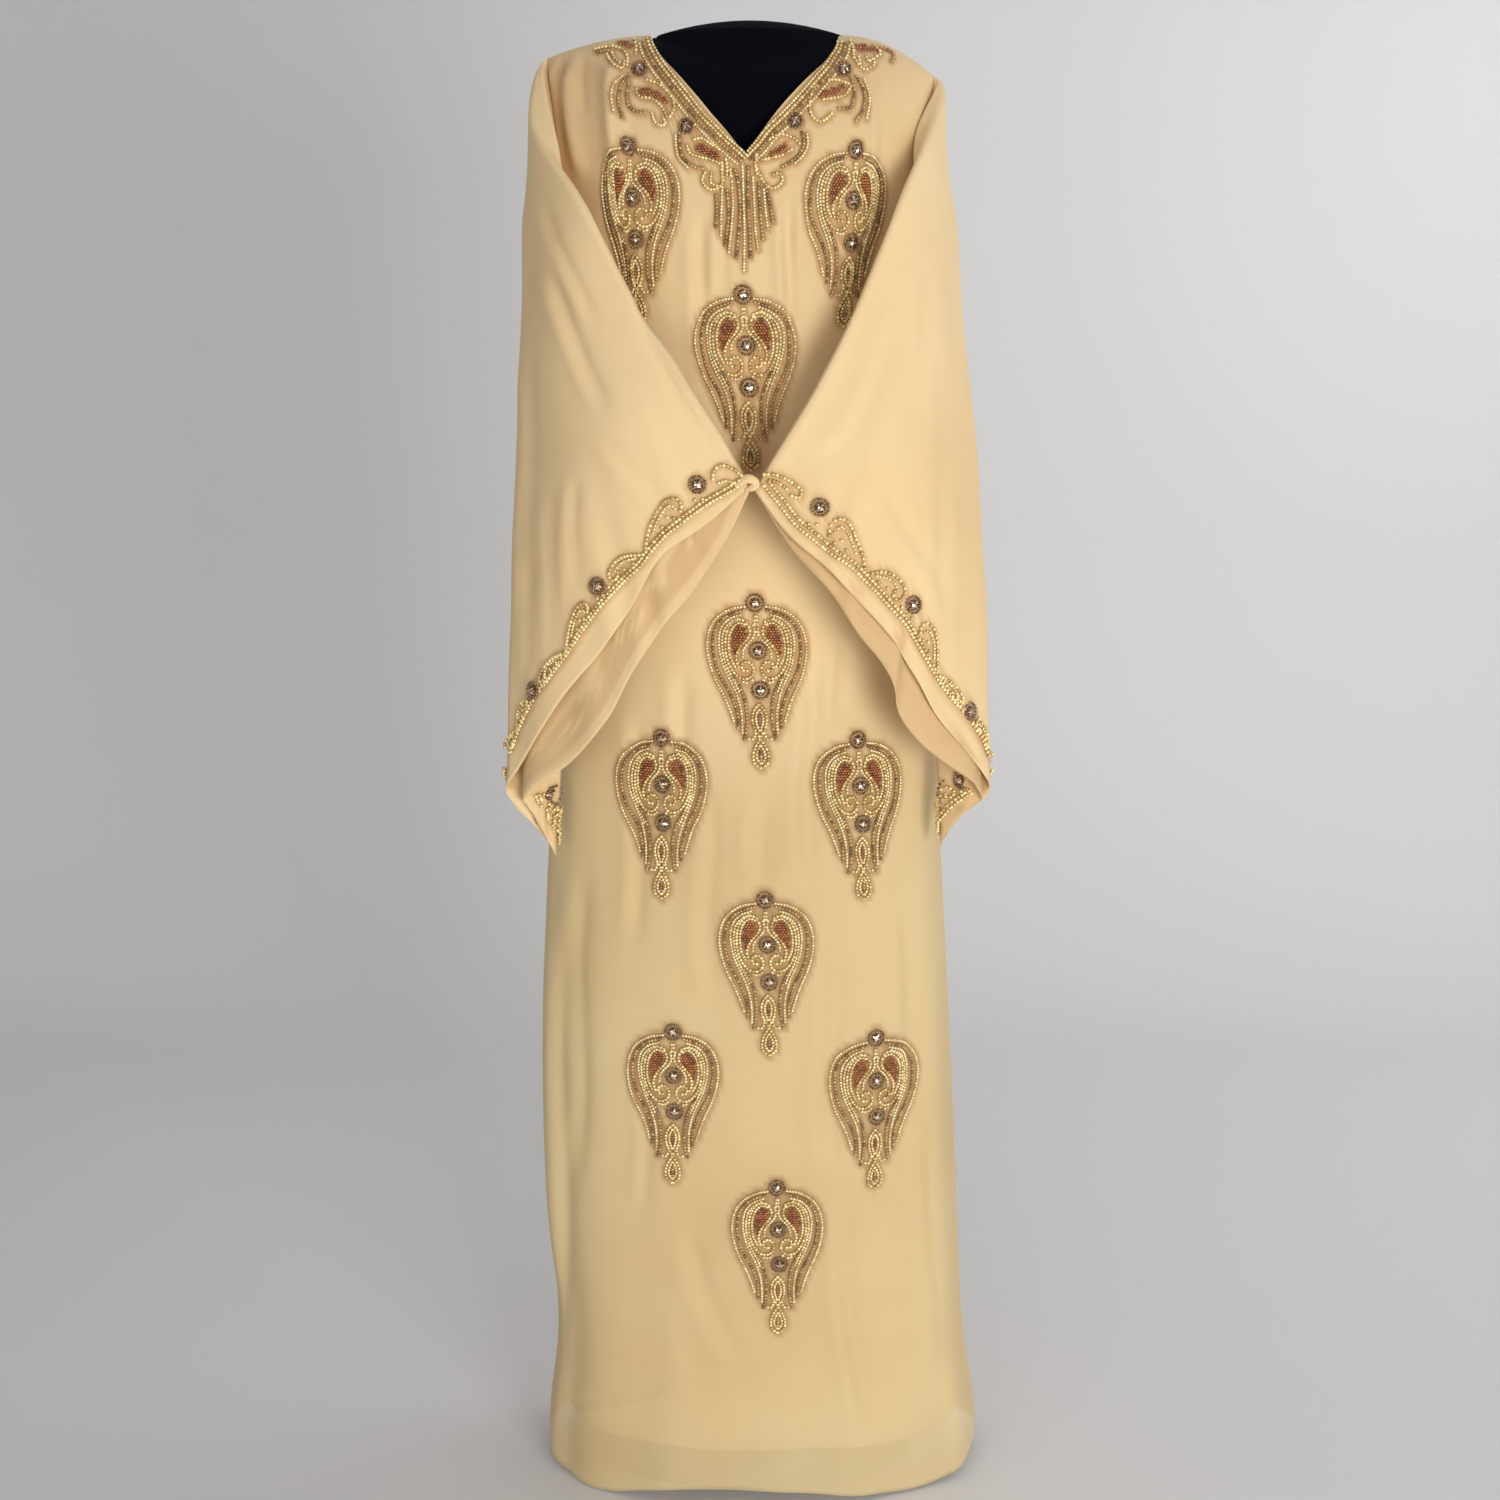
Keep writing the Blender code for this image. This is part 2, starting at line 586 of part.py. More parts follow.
def front_trim(name, rows, stones, lift=TRIM_LIFT):
    """Beadwork on the front panel: rows of (x, z), and the grid places of its large stones."""
    outer, inner = [], []
    for j, row in enumerate(rows):
        outer.append([])
        inner.append([])
        for i, (x, z) in enumerate(row):
            across = across_at(x, z)
            point, normal = body_point(FRONT, across, z), body_normal(FRONT, across, z)
            rise = STONE_RISE if (j, i) in stones else 0.0
            inner[-1].append(point + normal * lift)
            outer[-1].append(point + normal * (lift + TRIM_THICK + rise))
    return wall(name, outer, inner, BEADWORK)


def make_motif(motif):
    rows, stones = [], set()
    for j, line in enumerate(MOTIF):
        middle = motif.x + motif.lean * line.down
        stone = min(STONE_HALF, 0.5 * line.half)
        mid = (stone + line.half) / 2
        sides = (-line.half, -mid, -stone, 0.0, stone, mid, line.half)
        rows.append([(middle + aside, motif.top - line.down) for aside in sides])
        if line.down in MOTIF_STONES:
            stones.add((j, 3))
    return front_trim(motif.name, rows, stones)


def make_neck_border(name, side):
    rows, stones = [], set()
    for j, line in enumerate(NECK_BORDER):
        edge_x = NECK_HALF * (1 - line.place)
        edge_z = min(neck_edge(FRONT, min(edge_x, NECK_HALF)), SHOULDER_TOP - BORDER_BELOW)
        turn = math.radians(line.turn)
        row = []
        for part in BORDER_PARTS:
            out = BORDER_EDGE + line.width * part
            row.append((side * (edge_x + out * math.cos(turn)), edge_z - out * math.sin(turn)))
        rows.append(row)
        if line.stone:
            stones.add((j, 2))
    return front_trim(name, rows, stones, NECK_LIFT)


def make_fringe():
    rows = [[(FRINGE_LEAN * line.down + line.half * part, V_TIP - line.down)
             for part in FRINGE_PARTS] for line in FRINGE]
    return front_trim("neck_fringe", rows, set())


def make_cuff_border(name, side):
    keys = sleeve_keys(side)
    rim, near = (smooth(SLEEVE_PLACES, keys, 1.0 - back) for back in (0.0, CUFF_STEP))
    lengths = np.linalg.norm(rim - near, axis=1) / CUFF_STEP
    outer, inner = [], []
    for line, distance in enumerate(CUFF_LINES):
        outer.append([])
        inner.append([])
        for i, length in enumerate(lengths):
            place = 1.0 - distance / length
            here = smooth(SLEEVE_PLACES, keys, place)
            above, below = (smooth(SLEEVE_PLACES, keys, place + step)[i] for step in (-CUFF_STEP, CUFF_STEP))
            normal = -side * np.cross(here[(i + 1) % len(here)] - here[i - 1], below - above)
            normal = normal / np.linalg.norm(normal)
            rise = STONE_RISE if line == 1 and i in CUFF_STONES else 0.0
            inner[-1].append(here[i] + normal * CUFF_LIFT)
            outer[-1].append(here[i] + normal * (CUFF_LIFT + TRIM_THICK + rise))
    return wall(name, outer, inner, BEADWORK, ring=True)


def make_tack():
    points = [(TACK_CENTRE[0], TACK_CENTRE[1], TACK_CENTRE[2] + TACK_HALF[2] * end) for end in (1, -1)]
    faces = []
    for j in range(1, TACK_RINGS):
        level = math.pi * j / TACK_RINGS
        for i in range(TACK_SIDES):
            turn = 2 * math.pi * i / TACK_SIDES
            points.append((TACK_CENTRE[0] + TACK_HALF[0] * math.sin(level) * math.sin(turn),
                           TACK_CENTRE[1] - TACK_HALF[1] * math.sin(level) * math.cos(turn),
                           TACK_CENTRE[2] + TACK_HALF[2] * math.cos(level)))
    last = 2 + (TACK_RINGS - 2) * TACK_SIDES
    for i in range(TACK_SIDES):
        after = (i + 1) % TACK_SIDES
        faces += [(0, 2 + i, 2 + after), (1, last + after, last + i)]
        for j in range(TACK_RINGS - 2):
            a, b = 2 + j * TACK_SIDES + i, 2 + j * TACK_SIDES + after
            faces.append((a, a + TACK_SIDES, b + TACK_SIDES, b))
    return solid("cuff_tack", points, faces, CHIFFON)


def stacked(name, rings, finish):
    """A closed body from rings of equal length, with flat ends."""
    sides = len(rings[0])
    points = [point for ring in rings for point in ring]
    faces = [tuple(range(sides)), tuple(len(points) - 1 - i for i in range(sides))]
    for j in range(len(rings) - 1):
        for i in range(sides):
            a, b = j * sides + i, j * sides + (i + 1) % sides
            faces.append((a, b, b + sides, a + sides))
    return solid(name, points, faces, finish)


def form_top(turn, part):
    """A point of the form's shoulders; part runs from 0, its girth, to 1, the neck."""
    side = LEFT if math.sin(turn) < 0 else RIGHT
    face = FRONT if math.cos(turn) > 0 else BACK
    half = half_width(side, SHOULDER_TOP) - FORM_CLEAR
    depth = body_size("front" if face == FRONT else "back", SHOULDER_TOP) - FORM_CLEAR
    sine, cosine = abs(math.sin(turn)) ** BOXINESS, abs(math.cos(turn)) ** BOXINESS
    x = side * (half * sine * (1 - part) + NECK_STUMP[0] * abs(math.sin(turn)) * part)
    away = depth * cosine * (1 - part) + NECK_STUMP[1] * abs(math.cos(turn)) * part
    edge = math.sqrt(max(1 - (abs(x) / half) ** (2 / BOXINESS), 0.0)) ** BOXINESS
    forward = 1.0 if part == 0 else min(away / (depth * edge), 1.0)
    drop = SHOULDER_ROUND * (1 - math.sqrt(1 - forward ** 2))
    corner = FORM_CORNER * (abs(x) / half) ** 10
    return x, face * away, shoulder_height(x) - CLOTH - FORM_SEAT - drop - corner


def make_form():
    turns = [2 * math.pi * (i + 0.5) / FORM_SIDES for i in range(FORM_SIDES)]
    rings = []
    for row in FORM:
        ring = []
        for turn in turns:
            sine, cosine = math.sin(turn), math.cos(turn)
            away = (row.front if cosine > 0 else row.back) * abs(cosine) ** FORM_BOXINESS
            ring.append((math.copysign(row.half * abs(sine) ** FORM_BOXINESS, sine),
                         -math.copysign(away, cosine), row.height))
        rings.append(ring)
    rings += [[form_top(turn, part) for turn in turns] for part in SHOULDER_RINGS]
    for scale, height in NECK_RINGS:
        rings.append([(NECK_STUMP[0] * scale * math.sin(turn),
                       -NECK_STUMP[1] * scale * math.cos(turn), height) for turn in turns])
    return stacked("dress_form", rings, FORM_CLOTH)


def oval(half_x, half_y, z, sides):
    turns = [2 * math.pi * i / sides for i in range(sides)]
    return [(half_x * math.cos(turn), half_y * math.sin(turn), z) for turn in turns]


def make_stand():
    foot_x, foot_y = FOOT_HALF
    back, down = FOOT_EDGE
    stacked("stand_foot", [oval(foot_x, foot_y, 0.0, FOOT_SIDES),
                           oval(foot_x, foot_y, FOOT_THICK - down, FOOT_SIDES),
                           oval(foot_x - back, foot_y - back, FOOT_THICK, FOOT_SIDES)], STEEL)
    low, high = FOOT_THICK + SEAM, FORM[0].height - SEAM
    profile = ((COLLAR_RADIUS, low), (COLLAR_RADIUS, low + COLLAR_EDGE),
               (POLE_RADIUS, low + COLLAR_TOP), (POLE_RADIUS, high))
    stacked("stand_pole", [oval(radius, radius, z, POLE_SIDES) for radius, z in profile], STEEL)


make_panel("body_front", FRONT, FRONT_COLUMNS, FRONT_ROWS)
make_panel("body_back", BACK, BACK_COLUMNS, BACK_ROWS)
make_lining()
for word, hand in (("left", LEFT), ("right", RIGHT)):
    make_sleeve("sleeve_" + word, hand)
    make_cuff_border("cuff_border_" + word, hand)
    make_neck_border("neck_border_" + word, hand)
make_tack()
make_fringe()
for each in MOTIFS:
    make_motif(each)
make_form()
make_stand()
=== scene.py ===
# %% [markdown]
# # A beaded abaya on a dress form
# A floor-length gown of sheer champagne georgette over an opaque lining. Its wide sleeves hang
# forward and are tacked together at the front, and glass beads and stones are sewn on by hand.
# The solids give the sizes: each cloth piece below is the same surface, drawn finer, with the
# folds and the beadwork that a thin solid wall can't show.

# %% Load the frame
import math
import random
from collections import namedtuple

import bmesh
import bpy
import numpy as np
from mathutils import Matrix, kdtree


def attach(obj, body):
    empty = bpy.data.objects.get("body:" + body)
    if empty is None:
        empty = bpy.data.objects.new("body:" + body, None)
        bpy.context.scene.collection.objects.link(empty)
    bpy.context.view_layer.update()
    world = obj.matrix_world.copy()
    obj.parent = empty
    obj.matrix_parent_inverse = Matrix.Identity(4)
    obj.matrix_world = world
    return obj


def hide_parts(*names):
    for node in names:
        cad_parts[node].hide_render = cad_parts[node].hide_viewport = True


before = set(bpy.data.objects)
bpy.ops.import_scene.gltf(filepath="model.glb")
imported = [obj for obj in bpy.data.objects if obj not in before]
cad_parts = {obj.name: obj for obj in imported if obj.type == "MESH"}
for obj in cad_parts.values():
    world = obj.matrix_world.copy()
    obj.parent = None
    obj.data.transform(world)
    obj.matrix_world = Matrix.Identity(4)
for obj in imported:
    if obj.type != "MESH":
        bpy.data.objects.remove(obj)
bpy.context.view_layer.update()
print("nodes", len(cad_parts))

# %% [markdown]
# ## Camera
# The picture was taken from the front at chest height, looking down a little, so the verticals
# lean together towards the floor. The folds further down are placed in the picture's own
# pixels, 1500 by 1500, so the camera comes first, and `picture` gives any point's pixel.

# %% Camera
LENS, SENSOR, FRAME = 43.2, 36.0, 1500
FOCAL = FRAME * LENS / SENSOR
CAMERA = np.array((0.0, -1.896, 1.18))
TILT = math.radians(10.85)

camera = bpy.data.objects.new("camera", bpy.data.cameras.new("camera"))
camera.data.lens = LENS
camera.data.sensor_width = SENSOR
camera.location = CAMERA
camera.rotation_euler = (math.pi / 2 - TILT, 0, 0)
bpy.context.collection.objects.link(camera)
bpy.context.scene.camera = camera
bpy.context.scene.view_settings.view_transform = "Standard"


def camera_depth(points):
    """How far each point lies from the camera, along the way it looks."""
    away = np.asarray(points) - CAMERA
    return away[..., 1] * math.cos(TILT) - away[..., 2] * math.sin(TILT)


def picture(points):
    """The pixel of each point in the picture's frame."""
    away, depth = np.asarray(points) - CAMERA, camera_depth(points)
    rise = away[..., 1] * math.sin(TILT) + away[..., 2] * math.cos(TILT)
    return np.stack((FRAME / 2 + FOCAL * away[..., 0] / depth, FRAME / 2 - FOCAL * rise / depth),
                    -1)


print("camera looks down", round(math.degrees(TILT), 2), "degrees")

# %% [markdown]
# ## Floor and light
# A pale sweep, floor and wall in one, keeps the background quiet. One large soft light from
# the front right, a weaker one from the left and a pale world give the gentle shadows of a
# studio with diffusers. A fourth lamp behind the gown washes the wall.

# %% Floor and lights
def principled(name, colour, roughness, **values):
    """A material with one Principled shader, its plain values set on the shader's own sockets."""
    made = bpy.data.materials.new(name)
    made.use_nodes = True
    shader = made.node_tree.nodes["Principled BSDF"]
    shader.inputs["Base Color"].default_value = (*colour, 1)
    shader.inputs["Roughness"].default_value = roughness
    for socket, value in values.items():
        shader.inputs[socket.replace("_", " ")].default_value = value
    return made, made.node_tree, shader


sweep_paint, _, _ = principled("sweep_paint", (0.74, 0.74, 0.75), 0.9)
WALL_Y, WALL_TOP, SWEEP_ROUND, SWEEP_HALF, FLOOR_Y = 2.2, 5.0, 0.9, 5.0, -4.0
profile = [(FLOOR_Y, 0.0), (WALL_Y - SWEEP_ROUND, 0.0)]
profile += [(WALL_Y - SWEEP_ROUND + SWEEP_ROUND * math.sin(a),
             SWEEP_ROUND - SWEEP_ROUND * math.cos(a))
            for a in np.linspace(0.1, math.pi / 2, 16)]
profile += [(WALL_Y, WALL_TOP)]
sweep_mesh = bpy.data.meshes.new("sweep")
sweep_mesh.from_pydata([(x, y, z) for y, z in profile for x in (-SWEEP_HALF, SWEEP_HALF)], [],
                       [(2 * i, 2 * i + 1, 2 * i + 3, 2 * i + 2) for i in range(len(profile) - 1)])
sweep_mesh.shade_smooth()
sweep_mesh.materials.append(sweep_paint)
sweep = bpy.data.objects.new("sweep", sweep_mesh)
bpy.context.collection.objects.link(sweep)

Lamp = namedtuple("Lamp", "name place aim size power colour")
LAMPS = (
    Lamp("key", (1.3, -2.9, 0.65), (0.0, 0.0, 0.5), 1.4, 63, (1.0, 0.98, 0.95)),
    Lamp("fill", (-1.3, -3.0, 0.2), (0.0, 0.0, 0.2), 2.2, 31, (1.0, 0.95, 0.88)),
    Lamp("top", (0.2, 0.4, 3.3), (0.0, 0.0, 0.9), 1.8, 8, (1.0, 1.0, 1.0)),
    Lamp("wash", (1.9, 0.7, 2.0), (-0.2, 2.2, 0.5), 1.6, 15, (1.0, 1.0, 1.0)),
)
for lamp in LAMPS:
    light = bpy.data.lights.new(lamp.name, "AREA")
    light.size, light.energy, light.color = lamp.size, lamp.power, lamp.colour
    holder = bpy.data.objects.new(lamp.name, light)
    holder.location = lamp.place
    towards = np.array(lamp.aim) - np.array(lamp.place)
    flat = math.hypot(towards[0], towards[1])
    holder.rotation_euler = (math.atan2(flat, -towards[2]), 0,
                             math.atan2(towards[1], towards[0]) - math.pi / 2)
    bpy.context.collection.objects.link(holder)

world = bpy.data.worlds.new("studio")
world.use_nodes = True
air = world.node_tree.nodes["Background"].inputs
air["Color"].default_value = (0.90, 0.89, 0.88, 1)
air["Strength"].default_value = 0.37
bpy.context.scene.world = world
print("lights", len(LAMPS))

# %% [markdown]
# ## The garment's surface
# The gown was cut from flat panels, and hangs as a flattened tube, oval at the chest and wider
# at the hem. Short tables give its half widths and depths at some heights, and a smooth curve
# runs between them. These are the solids' own sizes, except that the hem and the V neck follow
# the picture a little closer.

# %% Sizes and the smooth curve
FRONT, BACK, LEFT, RIGHT = -1, 1, -1, 1
SHOULDER_TOP, NECK_HALF, V_TIP = 1.541, 0.091, (-0.004, 1.413)
NECK_SIDES = {LEFT: 0.097, RIGHT: 0.088}
# How high the V's edge has risen, in parts of its height, against how far out it has come
V_OUT = (0.0, 0.12, 0.25, 0.45, 0.57, 0.68, 0.78, 0.88, 0.95, 0.985, 1.0)
V_UP = {LEFT: (0.0, 0.085, 0.18, 0.325, 0.43, 0.53, 0.63, 0.73, 0.83, 0.915, 1.0),
        RIGHT: (0.0, 0.11, 0.23, 0.40, 0.50, 0.595, 0.685, 0.775, 0.86, 0.93, 1.0)}
BACK_NECK_DROP, BACK_NECK_CURVE = 0.035, (2.4, 0.8)
SHOULDER_ROUND, ARMPIT, HEM, BOXINESS = 0.12, 1.270, 0.017, 0.88
ARMHOLE_BITE, ARMHOLE_ROUND = 0.255, 0.8
ARM_SPREAD, LOW_SPREAD = 1.8, 0.9

BODY = np.array((     # height, half widths left and right, depths front and back
    (0.000, 0.232, 0.260, 0.121, 0.114),
    (0.060, 0.229, 0.257, 0.119, 0.111),
    (0.130, 0.220, 0.245, 0.117, 0.108),
    (0.330, 0.227, 0.230, 0.119, 0.108),
    (0.700, 0.218, 0.2065, 0.121, 0.108),
    (0.900, 0.200, 0.193, 0.119, 0.096),
    (1.100, 0.186, 0.178, 0.118, 0.080),
    (1.270, 0.192, 0.177, 0.119, 0.086),
    (1.400, 0.201, 0.179, 0.106, 0.090),
    (1.475, 0.202, 0.183, 0.094, 0.086),
    (1.545, 0.202, 0.184, 0.088, 0.080)))
SHOULDER_FALL = {LEFT: 0.021, RIGHT: 0.038}


def smooth(xs, values, x):
    """A smooth curve through the values, read at every x."""
    xs, values = np.asarray(xs, float), np.asarray(values, float)
    slopes = np.gradient(values, xs, axis=0)
    x = np.clip(np.asarray(x, float), xs[0], xs[-1])
    i = np.clip(np.searchsorted(xs, x, side="right") - 1, 0, len(xs) - 2)
    width = xs[i + 1] - xs[i]
    f = (x - xs[i]) / width
    shape = f.shape + (1,) * (values.ndim - 1)
    f, width = f.reshape(shape), width.reshape(shape)
    rise = (3 - 2 * f) * f * f
    return (values[i] * (1 - rise) + values[i + 1] * rise
            + slopes[i] * f * (1 - f) ** 2 * width - slopes[i + 1] * f * f * (1 - f) * width)


def step(x):
    """0 below 0, 1 above 1, and smooth between."""
    x = np.clip(x, 0.0, 1.0)
    return x * x * (3 - 2 * x)


def half_width(side, z):
    """Half the body's width at height z, on the side that the sign of side tells."""
    return np.where(np.asarray(side) < 0, smooth(BODY[:, 0], BODY[:, 1], z),
                    smooth(BODY[:, 0], BODY[:, 2], z))


def shoulder_height(x):
    """Height of the shoulder seam at x, level across the neck."""
    x = np.asarray(x, float)
    fall = np.where(x < 0, SHOULDER_FALL[LEFT], SHOULDER_FALL[RIGHT])
    reach = half_width(x, SHOULDER_TOP) - NECK_HALF
    return SHOULDER_TOP - fall * (np.maximum(np.abs(x) - NECK_HALF, 0.0) / reach) ** 2


print("half width at the hem", [round(float(half_width(s, HEM)), 3) for s in (LEFT, RIGHT)])

# %% The body's surface and its normals
Fold = namedtuple("Fold", "across width depth top")
BROAD_FOLDS = {
    FRONT: (Fold(-0.86, 0.080, 0.006, 0.90), Fold(-0.66, 0.080, -0.005, 0.80),
            Fold(-0.22, 0.080, 0.004, 0.62),
            Fold(0.26, 0.080, 0.004, 0.66), Fold(0.70, 0.080, 0.006, 0.86),
            Fold(0.86, 0.070, -0.005, 0.84)),
    BACK: (Fold(-0.84, 0.090, 0.008, 0.88), Fold(-0.62, 0.080, -0.006, 0.90),
           Fold(-0.40, 0.090, 0.009, 0.88),
           Fold(-0.17, 0.080, -0.006, 0.84), Fold(0.06, 0.090, 0.010, 0.90),
           Fold(0.29, 0.080, -0.006, 0.86),
           Fold(0.52, 0.090, 0.009, 0.84), Fold(0.76, 0.080, -0.005, 0.90)),
}
FOLD_GROWTH, FOLD_FADE = 0.35, 0.04
# The small steps that a normal is read over, and how far inside the seams it is read
STEP_ACROSS, STEP_UP, INSIDE_SEAM, BELOW_SEAM = 0.002, 0.001, 0.995, 0.002


def body_point(face, across, z, folded=True):
    """Points of the body's surface; across runs from -1 to 1 between the side seams."""
    across, z = np.broadcast_arrays(np.asarray(across, float), np.asarray(z, float))
    angle = across * math.pi / 2
    x = np.sign(across) * np.abs(np.sin(angle)) ** BOXINESS * half_width(across, z)
    drop = np.clip(np.maximum(shoulder_height(x) - z, 0.0) / SHOULDER_ROUND, 0.0, 1.0)
    away = smooth(BODY[:, 0], BODY[:, 3 if face == FRONT else 4], z)
    away = away * np.abs(np.cos(angle)) ** BOXINESS * np.sqrt(1 - (1 - drop) ** 2)
    if folded:
        lift = sum(f.depth * step((f.top - z) / FOLD_GROWTH) * np.exp(-((across - f.across) / f.width) ** 2)
                   for f in BROAD_FOLDS[face])
        away = away + lift * np.minimum(1.0, (1 - np.abs(across)) / FOLD_FADE)
    return np.stack((x, face * away, z), -1)


def across_at(x, z):
    """The place across the body whose x is given."""
    part = np.minimum(np.abs(x) / half_width(x, z), 1.0)
    return np.sign(x) * np.arcsin(part ** (1 / BOXINESS)) * 2 / math.pi


def unit(vectors):
    """The same directions with length 1."""
    return vectors / np.maximum(np.linalg.norm(vectors, axis=-1, keepdims=True), 1e-12)


def body_normal(face, across, z):
    """Outward normals of the body's surface, read just inside its seams."""
    across = np.clip(across, -INSIDE_SEAM, INSIDE_SEAM)
    z = np.minimum(z, shoulder_height(body_point(face, across, z)[..., 0]) - BELOW_SEAM)
    along = body_point(face, across + STEP_ACROSS, z) - body_point(face, across - STEP_ACROSS, z)
    up = body_point(face, across, z + STEP_UP) - body_point(face, across, z - STEP_UP)
    return unit(np.cross(along, up)) * -face


def armhole_edge(z, side):
    """How far across a panel reaches at height z; 1 is the side seam."""
    corner = shoulder_height(side * half_width(side, SHOULDER_TOP))
    down = np.clip((corner - z) / (corner - ARMPIT), 0.0, 1.0)
    return 1 - ARMHOLE_BITE * np.sin(math.pi * down) ** ARMHOLE_ROUND


def neck_edge(face, x):
    """Height of the neck edge at x, or of the shoulder seam beside it."""
    x = np.asarray(x, float)
    half = np.where(x < 0, NECK_SIDES[LEFT], NECK_SIDES[RIGHT])
    if face == FRONT:
        tip, low = V_TIP
        left = np.interp((tip - x) / (NECK_SIDES[LEFT] + tip), V_OUT, V_UP[LEFT])
        right = np.interp((x - tip) / (NECK_SIDES[RIGHT] - tip), V_OUT, V_UP[RIGHT])
        edge = low + (SHOULDER_TOP - low) * np.where(x < tip, left, right)
    else:
        square, soft = BACK_NECK_CURVE
        edge = SHOULDER_TOP - BACK_NECK_DROP * (1 - np.minimum(np.abs(x) / half,
                                                               1.0) ** square) ** soft
    return np.where(np.abs(x) >= half, shoulder_height(x), np.minimum(edge, shoulder_height(x)))


# The front hem's height at places across, and the back hem's waves: height, pace and start
FRONT_HEM = ((-1.0, -0.72, -0.44, -0.18, 0.10, 0.45, 0.75, 1.0),
             (0.020, 0.006, 0.002, 0.018, 0.014, 0.003, 0.012, 0.020))
BACK_HEM_RISE, BACK_HEM = 0.003, ((0.0032, 7.5, 0.6), (0.0024, 3.1, -0.4))


def hem_height(face, across):
    """Height of the hem, which dips and rises a little across."""
    if face == FRONT:
        return smooth(*FRONT_HEM, across)
    height = HEM + BACK_HEM_RISE * across ** 8
    for wave, pace, start in BACK_HEM:
        height = height + wave * np.sin(pace * across + start)
    return height


print("normal at the chest", np.round(body_normal(FRONT, np.array(0.1), np.array(1.2)), 2))

# %% [markdown]
# ## Folds placed one by one
# Georgette is limp, so it falls in long soft folds where it hangs and creases where it bends.
# Each fold is a line of pixels in the picture with a width and a depth in millimetres. Near
# it the cloth sinks in a soft trough, and rises beside it where the table asks for a ridge.
# Fine irregular ripples on top keep a large plain area from looking like plastic.

# %% Creases and ripples
Crease = namedtuple("Crease", "width depth ridge line")
# The share of a crease that fades in at each end, and its ridge's place and width beside it
CREASE_FADE, RIDGE_OUT, RIDGE_WIDE = 0.22, 1.7, 1.1


def run_along(line):
    """The way walked along a line up to each of its points."""
    return np.concatenate(((0.0,), np.cumsum(np.linalg.norm(np.diff(line, axis=0), axis=1))))


def crease_lift(places, creases):
    """How far the creases move each place, in metres; places and lines share one plane."""
    lift = np.zeros(places.shape[:-1])
    for crease in creases:
        line = np.array(crease.line, float)
        starts = run_along(line)
        best = np.full(lift.shape, 1e9)
        aside, along = np.zeros(lift.shape), np.zeros(lift.shape)
        for a, b, start in zip(line[:-1], line[1:], starts):
            length = np.linalg.norm(b - a)
            way = (b - a) / length
            t = np.clip((places - a) @ way, 0.0, length)
            off = places - (a + t[..., None] * way)
            far = np.linalg.norm(off, axis=-1)
            nearer = far < best
            best = np.where(nearer, far, best)
            aside = np.where(nearer, np.copysign(far, off[..., 0] * -way[1] + off[..., 1] * way[0]),
                             aside)
            along = np.where(nearer, (start + t) / starts[-1], along)
        ends = step(along / CREASE_FADE) * step((1 - along) / CREASE_FADE)
        trough = np.exp(-(aside / crease.width) ** 2)
        ridge = np.exp(-((aside - RIDGE_OUT * crease.width) / (RIDGE_WIDE * crease.width)) ** 2)
        lift += 0.001 * ends * (crease.ridge * ridge - crease.depth * trough)
    return lift


Ripple = namedtuple("Ripple", "height seed low high")
RIPPLE_WAVES = 14


def ripples(a, b, ripple):
    """A smooth uneven ripple of height about 1 over two coordinates."""
    draw = random.Random(ripple.seed)
    total = np.zeros(np.broadcast(a, b).shape)
    for _ in range(RIPPLE_WAVES):
        pace_a, pace_b = (draw.uniform(low, high) for low, high in zip(ripple.low, ripple.high))
        total += np.sin(pace_a * a + draw.choice((-1, 1)) * pace_b * b + draw.uniform(0, 6.28))
    return total / math.sqrt(RIPPLE_WAVES)


